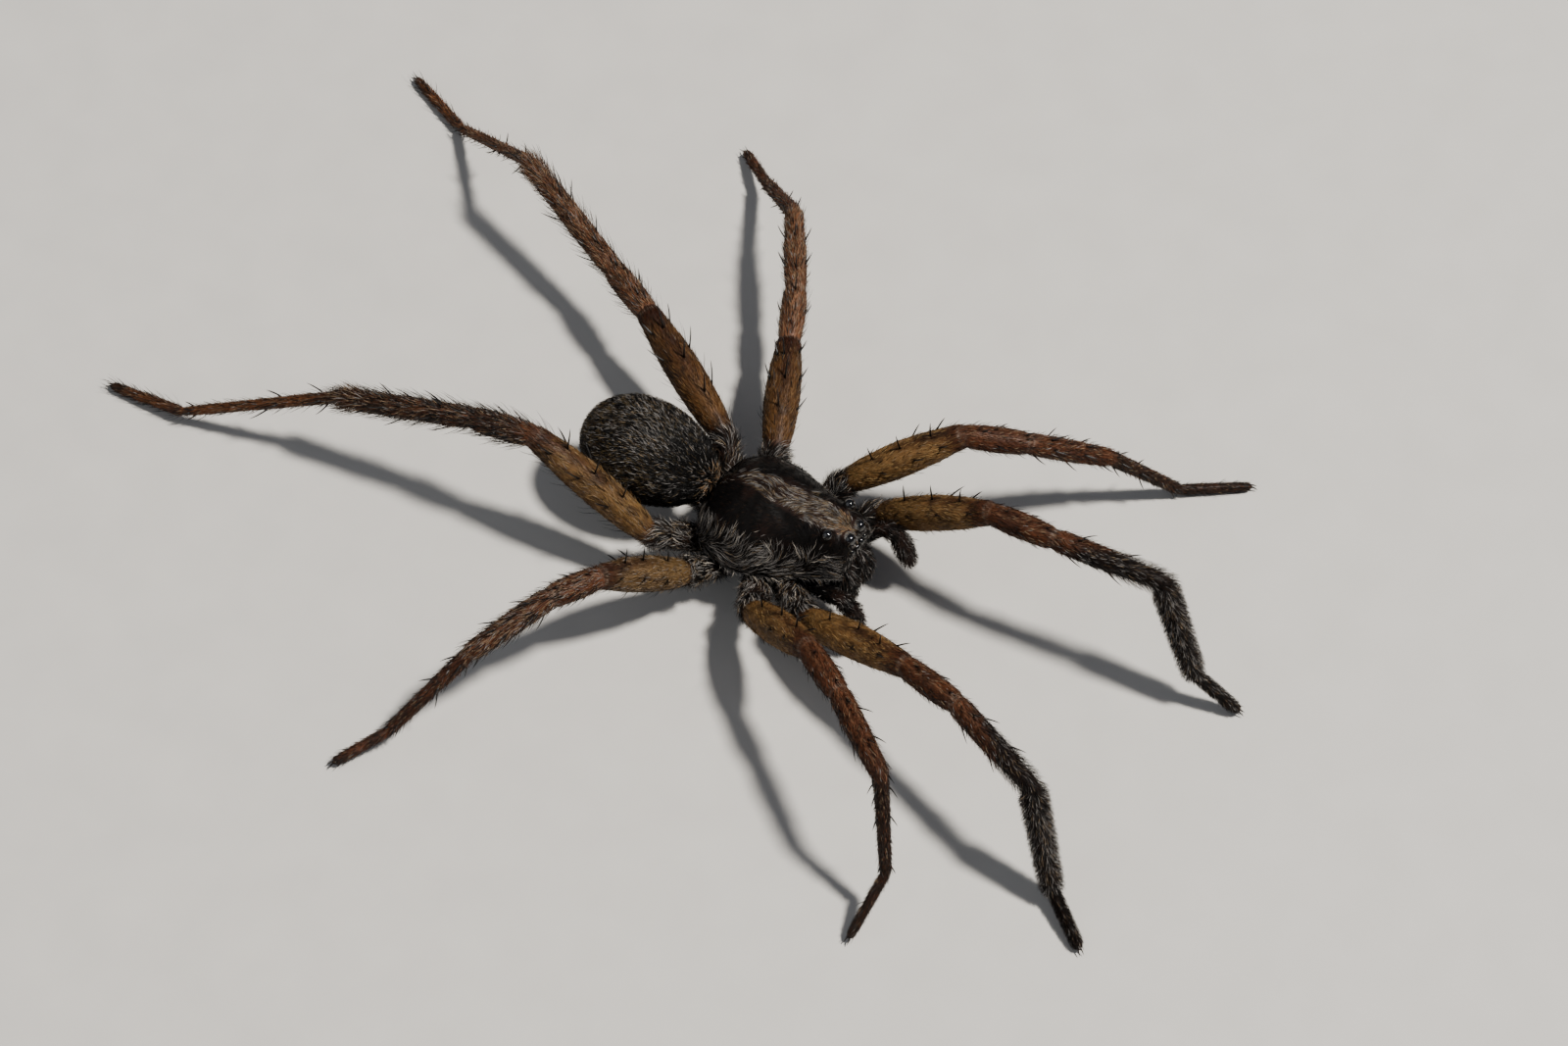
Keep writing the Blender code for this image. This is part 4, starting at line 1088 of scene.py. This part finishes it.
def limb_spines():
    """The long black spines of every leg and palp that stand clear of the ground, and their feet."""
    shapes, feet = [], []
    for k, (limb, kind, start, end) in enumerate(SEGMENTS):
        rows = [(share, degrees, *build)
                for share, angles, *build in SPINES.get(kind, ()) for degrees in angles]
        for share, degrees, length, lean in rows:
            share = share + RNG.normal(0, SHARE_SPREAD)
            turn = math.radians(degrees + RNG.normal(0, TURN_SPREAD)) * (1 if LIMB_RIGHT[limb] else -1)
            lean = math.radians(lean + RNG.normal(0, LEAN_SPREAD))
            size = length * (LONGER_ON_FOURTH if LIMB_PAIR[limb] == 4 else 1.0)
            size *= 1 + RNG.normal(0, LENGTH_SPREAD)
            out = SEG_SIDE[k] * math.sin(turn) + SEG_DORSAL[k] * math.cos(turn)
            radius = curve(np.array([share]), PROFILES[kind])[0, 0]
            root = start + (end - start) * share + out * (radius - SPINE_SINK)
            if kind == FEMUR:
                root[2] += FEMUR_ARCH * math.sin(math.pi * share)
            axis = SEG_AXIS[k] * math.cos(lean) + out * math.sin(lean)
            if (root + axis * size)[2] > LEAST_TIP_HEIGHT:
                reach, thickness = SPINE_BUILD[kind]
                feet.append(root)
                shapes.append(spike(root, axis, out, size * reach, thickness, SPINE_BEND, 6))
    return joined(shapes), feet


def search_tree(points):
    tree = KDTree(len(points))
    for number, point in enumerate(points):
        tree.insert(point, number)
    tree.balance()
    return tree


def tarsal_claws():
    """A pair of small curved claws at the tip of every leg."""
    shapes = []
    for (pair, _, joints, _), sign in itertools.product(LIMBS, (1, -1)):
        if pair == 0:
            continue
        axis = unit(joints[-1] - joints[-2])
        level = unit(axis * (1.0, 1.0, 0.0))
        up = np.array((0.0, 0.0, 1.0))
        side = np.cross(level, up) * sign
        root = joints[-1] + axis * CLAW_ROOT[0] + side * CLAW_ROOT[1] + up * CLAW_ROOT[2]
        direction = unit(level * CLAW_AIM[0] + side * CLAW_AIM[1] + up * CLAW_AIM[2])
        shapes.append(spike(root, direction, up, CLAW_LENGTH, CLAW_RADIUS, CLAW_BEND, 8))
    return joined(shapes)


def make_jaw_mesh(sign, rings=44, sides=28):
    """One jaw with its fang, and the share along it of every vertex."""
    share = np.linspace(0, 1, rings)
    keys = np.array(JAW_LINE)
    stops = np.concatenate([[0], np.cumsum(np.linalg.norm(np.diff(keys[:, :3], axis=0), axis=1))])
    line = curve(share, np.column_stack([stops / stops[-1], keys]))
    centres = place(line[:, :3] * (sign, 1, 1))
    points, faces = tube(centres, line[:, 3], sides, upright=(0.0, -1.0, 0.0), depth=1.15)
    return solid_mesh("jaw", points, faces), np.repeat(share, sides)


# ---- materials ----
def material(name, roughness, speckle_scale, tone, specular=0.5, coat=0.0, base=None, grain=(0.0, 0.0)):
    """A surface in the mesh's tint, or one base colour, with speckled tone; grain is its depth and scale."""
    made = bpy.data.materials.new(name)
    made.use_nodes = True
    tree = made.node_tree
    shader = tree.nodes["Principled BSDF"]

    def add(kind, **values):
        node = tree.nodes.new("ShaderNode" + kind)
        for socket, value in values.items():
            node.inputs[socket.replace("_", " ")].default_value = value
        return node

    def link(node, output, target, socket):
        tree.links.new(node.outputs[output], target.inputs[socket])

    shader.inputs["Specular IOR Level"].default_value = specular
    shader.inputs["Coat Weight"].default_value = coat
    shader.inputs["Coat Roughness"].default_value = 0.08
    where = add("TexCoord")
    speckle = add("TexNoise", Scale=speckle_scale, Detail=4.0)
    link(where, "Object", speckle, "Vector")
    tones = add("MapRange", From_Min=0.3, From_Max=0.7, To_Min=1.0 - tone, To_Max=1.0 + tone)
    link(speckle, "Fac", tones, "Value")
    scale = add("VectorMath")
    scale.operation = "SCALE"
    if base is None:
        tint = add("Attribute")
        tint.attribute_name = "tint"
        link(tint, "Color", scale, 0)
    else:
        scale.inputs[0].default_value = base
    link(tones, "Result", scale, "Scale")
    link(scale, "Vector", shader, "Base Color")
    rough = add("MapRange", To_Min=roughness * 0.8, To_Max=min(1.0, roughness * 1.25))
    link(speckle, "Fac", rough, "Value")
    link(rough, "Result", shader, "Roughness")
    depth, grain_scale = grain
    if depth:
        texture = add("TexNoise", Scale=grain_scale, Detail=5.0)
        link(where, "Object", texture, "Vector")
        relief = add("Bump", Strength=0.6, Distance=depth)
        link(texture, "Fac", relief, "Height")
        link(relief, "Normal", shader, "Normal")
    return made


SKIN = material("skin", 0.50, 3500, 0.22, specular=0.16, grain=(2.0e-5, 14000))
SHELL = material("shell", 0.46, 3000, 0.30, specular=0.07, grain=(1.0e-5, 16000))
HAIR = material("hair", 0.50, 6000, 0.20, specular=0.08)
SPINE = material("spine", 0.34, 8000, 0.35, specular=0.3, base=(0.0035, 0.0028, 0.0026))
CLAW = material("claw", 0.25, 9000, 0.35, base=(0.008, 0.004, 0.003))
JAW = material("jaw", 0.32, 4000, 0.30, specular=0.4, grain=(1.0e-5, 16000))
EYE = material("eye", 0.08, 5000, 0.30, specular=0.6, coat=0.3, base=(0.0008, 0.0007, 0.0008))
FLOOR = material("floor", 0.8, 400, 0.03, base=(0.46, 0.44, 0.41))

# ---- build ----
SPINE_SHAPES, SPINE_FEET = limb_spines()
SPINE_TREE = search_tree(SPINE_FEET)
FLESH = [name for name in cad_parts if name.startswith(("leg_", "palp_"))
         or name in ("abdomen", "pedicel", "spinnerets", "sternum", "mouthparts")]


def make_body():
    """The skin of limbs and trunk, and its coat."""
    skin = make_skin_mesh()
    points = rows_of(skin.vertices, "co")
    set_colours(skin, skin_colours(points, locate(points)))
    surface = Surface(skin)
    pieces = limb_coat(surface)
    add_bristles(surface, pieces)
    for name, chunks in sorted(pieces.items()):
        add_coat(f"coat_{name}", chunks)
    add_coat("coat_abdomen", [abdomen_coat(surface)])
    set_points(skin, to_frame(points))
    add_piece("skin", skin, SKIN, FLESH)


def make_carapace():
    shell = make_carapace_mesh()
    points = rows_of(shell.vertices, "co")
    set_colours(shell, carapace_colours(points))
    surface = Surface(shell)
    add_coat("coat_carapace", [carapace_coat(surface), carapace_bristles(surface)])
    set_points(shell, to_frame(points))
    add_piece("carapace_shell", shell, SHELL, ["carapace"])


def make_jaw(side, sign):
    jaw, share = make_jaw_mesh(sign)
    points = rows_of(jaw.vertices, "co")
    fang = ramp(FANG_START - 0.02, FANG_START + 0.03, share)
    set_colours(jaw, layered(BLACK_SKIN, (DARK_SKIN, noise(points, 0.3, 61)), (FANG_RED, fang)))
    add_coat(f"coat_jaw_{side}", [jaw_coat(Surface(jaw), share)])
    set_points(jaw, to_frame(points))
    add_piece(f"jaw_{side}", jaw, JAW, [f"chelicera_{side}"])


def make_eyes(side, sign):
    for eye, (*centre, radius) in EYES.items():
        bm = bmesh.new()
        bmesh.ops.create_uvsphere(bm, u_segments=40, v_segments=24, radius=radius * MM)
        bmesh.ops.translate(bm, verts=bm.verts, vec=Vector(to_frame(place(centre) * (sign, 1, 1))))
        mesh = bpy.data.meshes.new(f"eye_{eye}_{side}")
        bm.to_mesh(mesh)
        bm.free()
        mesh.shade_smooth()
        add_piece(f"lens_{eye}_{side}", mesh, EYE, [f"eye_{eye}_{side}"])


def make_spines_and_claws():
    for name, (points, faces), finish, slot in (("spines", SPINE_SHAPES, SPINE, "tibia"),
                                                ("claws", tarsal_claws(), CLAW, "foot")):
        add_piece(name, solid_mesh(name, to_frame(points), faces), finish)


# ---- studio ----
CAMERA_AZIMUTH, CAMERA_ELEVATION, CAMERA_ROLL = np.radians((-65, 54, -6))
CAMERA_DISTANCE, CAMERA_LENS, CAMERA_SENSOR = 285.0, 164.3, 36.0
CAMERA_TARGET = (2.276, -0.253, 0.0)


def make_floor(size=0.6):
    """A plain pale floor with a faint grain."""
    mesh = bpy.data.meshes.new("floor")
    corners = [(-size, -size, 0), (size, -size, 0), (size, size, 0), (-size, size, 0)]
    mesh.from_pydata(corners, [], [(0, 1, 2, 3)])
    mesh.materials.append(FLOOR)
    link_object("floor", mesh)


def add_light(name, direction, distance, size, power, colour):
    light = bpy.data.lights.new(name, "AREA")
    light.shape = "DISK"
    light.size = size
    light.energy = power
    light.color = colour
    holder = link_object(name, light)
    direction = Vector(direction).normalized()
    holder.location = direction * distance
    holder.rotation_euler = direction.to_track_quat("Z", "Y").to_euler()


def make_lights():
    add_light("key", (0.093, -0.459, 1.0), distance=0.50, size=0.055, power=5.6, colour=(1.0, 0.97, 0.92))
    add_light("fill", (-0.8, 0.5, 0.7), distance=0.60, size=0.80, power=1.0, colour=(0.92, 0.96, 1.0))
    world = bpy.data.worlds.new("studio")
    bpy.context.scene.world = world
    world.use_nodes = True
    world.node_tree.nodes["Background"].inputs["Color"].default_value = (0.80, 0.86, 1.0, 1.0)
    world.node_tree.nodes["Background"].inputs["Strength"].default_value = 0.18


def make_camera():
    """The photograph's view: from the animal's right, high and a little in front."""
    flat = math.cos(CAMERA_ELEVATION)
    back = Vector((math.sin(CAMERA_AZIMUTH) * flat, -math.cos(CAMERA_AZIMUTH) * flat,
                   math.sin(CAMERA_ELEVATION)))
    level = Vector((math.cos(CAMERA_AZIMUTH), math.sin(CAMERA_AZIMUTH), 0.0))
    upward = back.cross(level)
    right = level * math.cos(CAMERA_ROLL) - upward * math.sin(CAMERA_ROLL)
    up = level * math.sin(CAMERA_ROLL) + upward * math.cos(CAMERA_ROLL)
    target = Vector(to_frame(place(CAMERA_TARGET)))
    target.z = 0.0
    camera = bpy.data.cameras.new("camera")
    camera.sensor_width = CAMERA_SENSOR
    camera.lens = CAMERA_LENS
    camera.clip_start = 0.01
    holder = link_object("camera", camera)
    holder.matrix_world = Matrix((right, up, back)).transposed().to_4x4()
    holder.location = target + back * CAMERA_DISTANCE * MM
    bpy.context.scene.camera = holder


make_body()
make_carapace()
for jaw_side, jaw_sign in (("left", 1), ("right", -1)):
    make_jaw(jaw_side, jaw_sign)
    make_eyes(jaw_side, jaw_sign)
make_spines_and_claws()
make_floor()
make_lights()
make_camera()
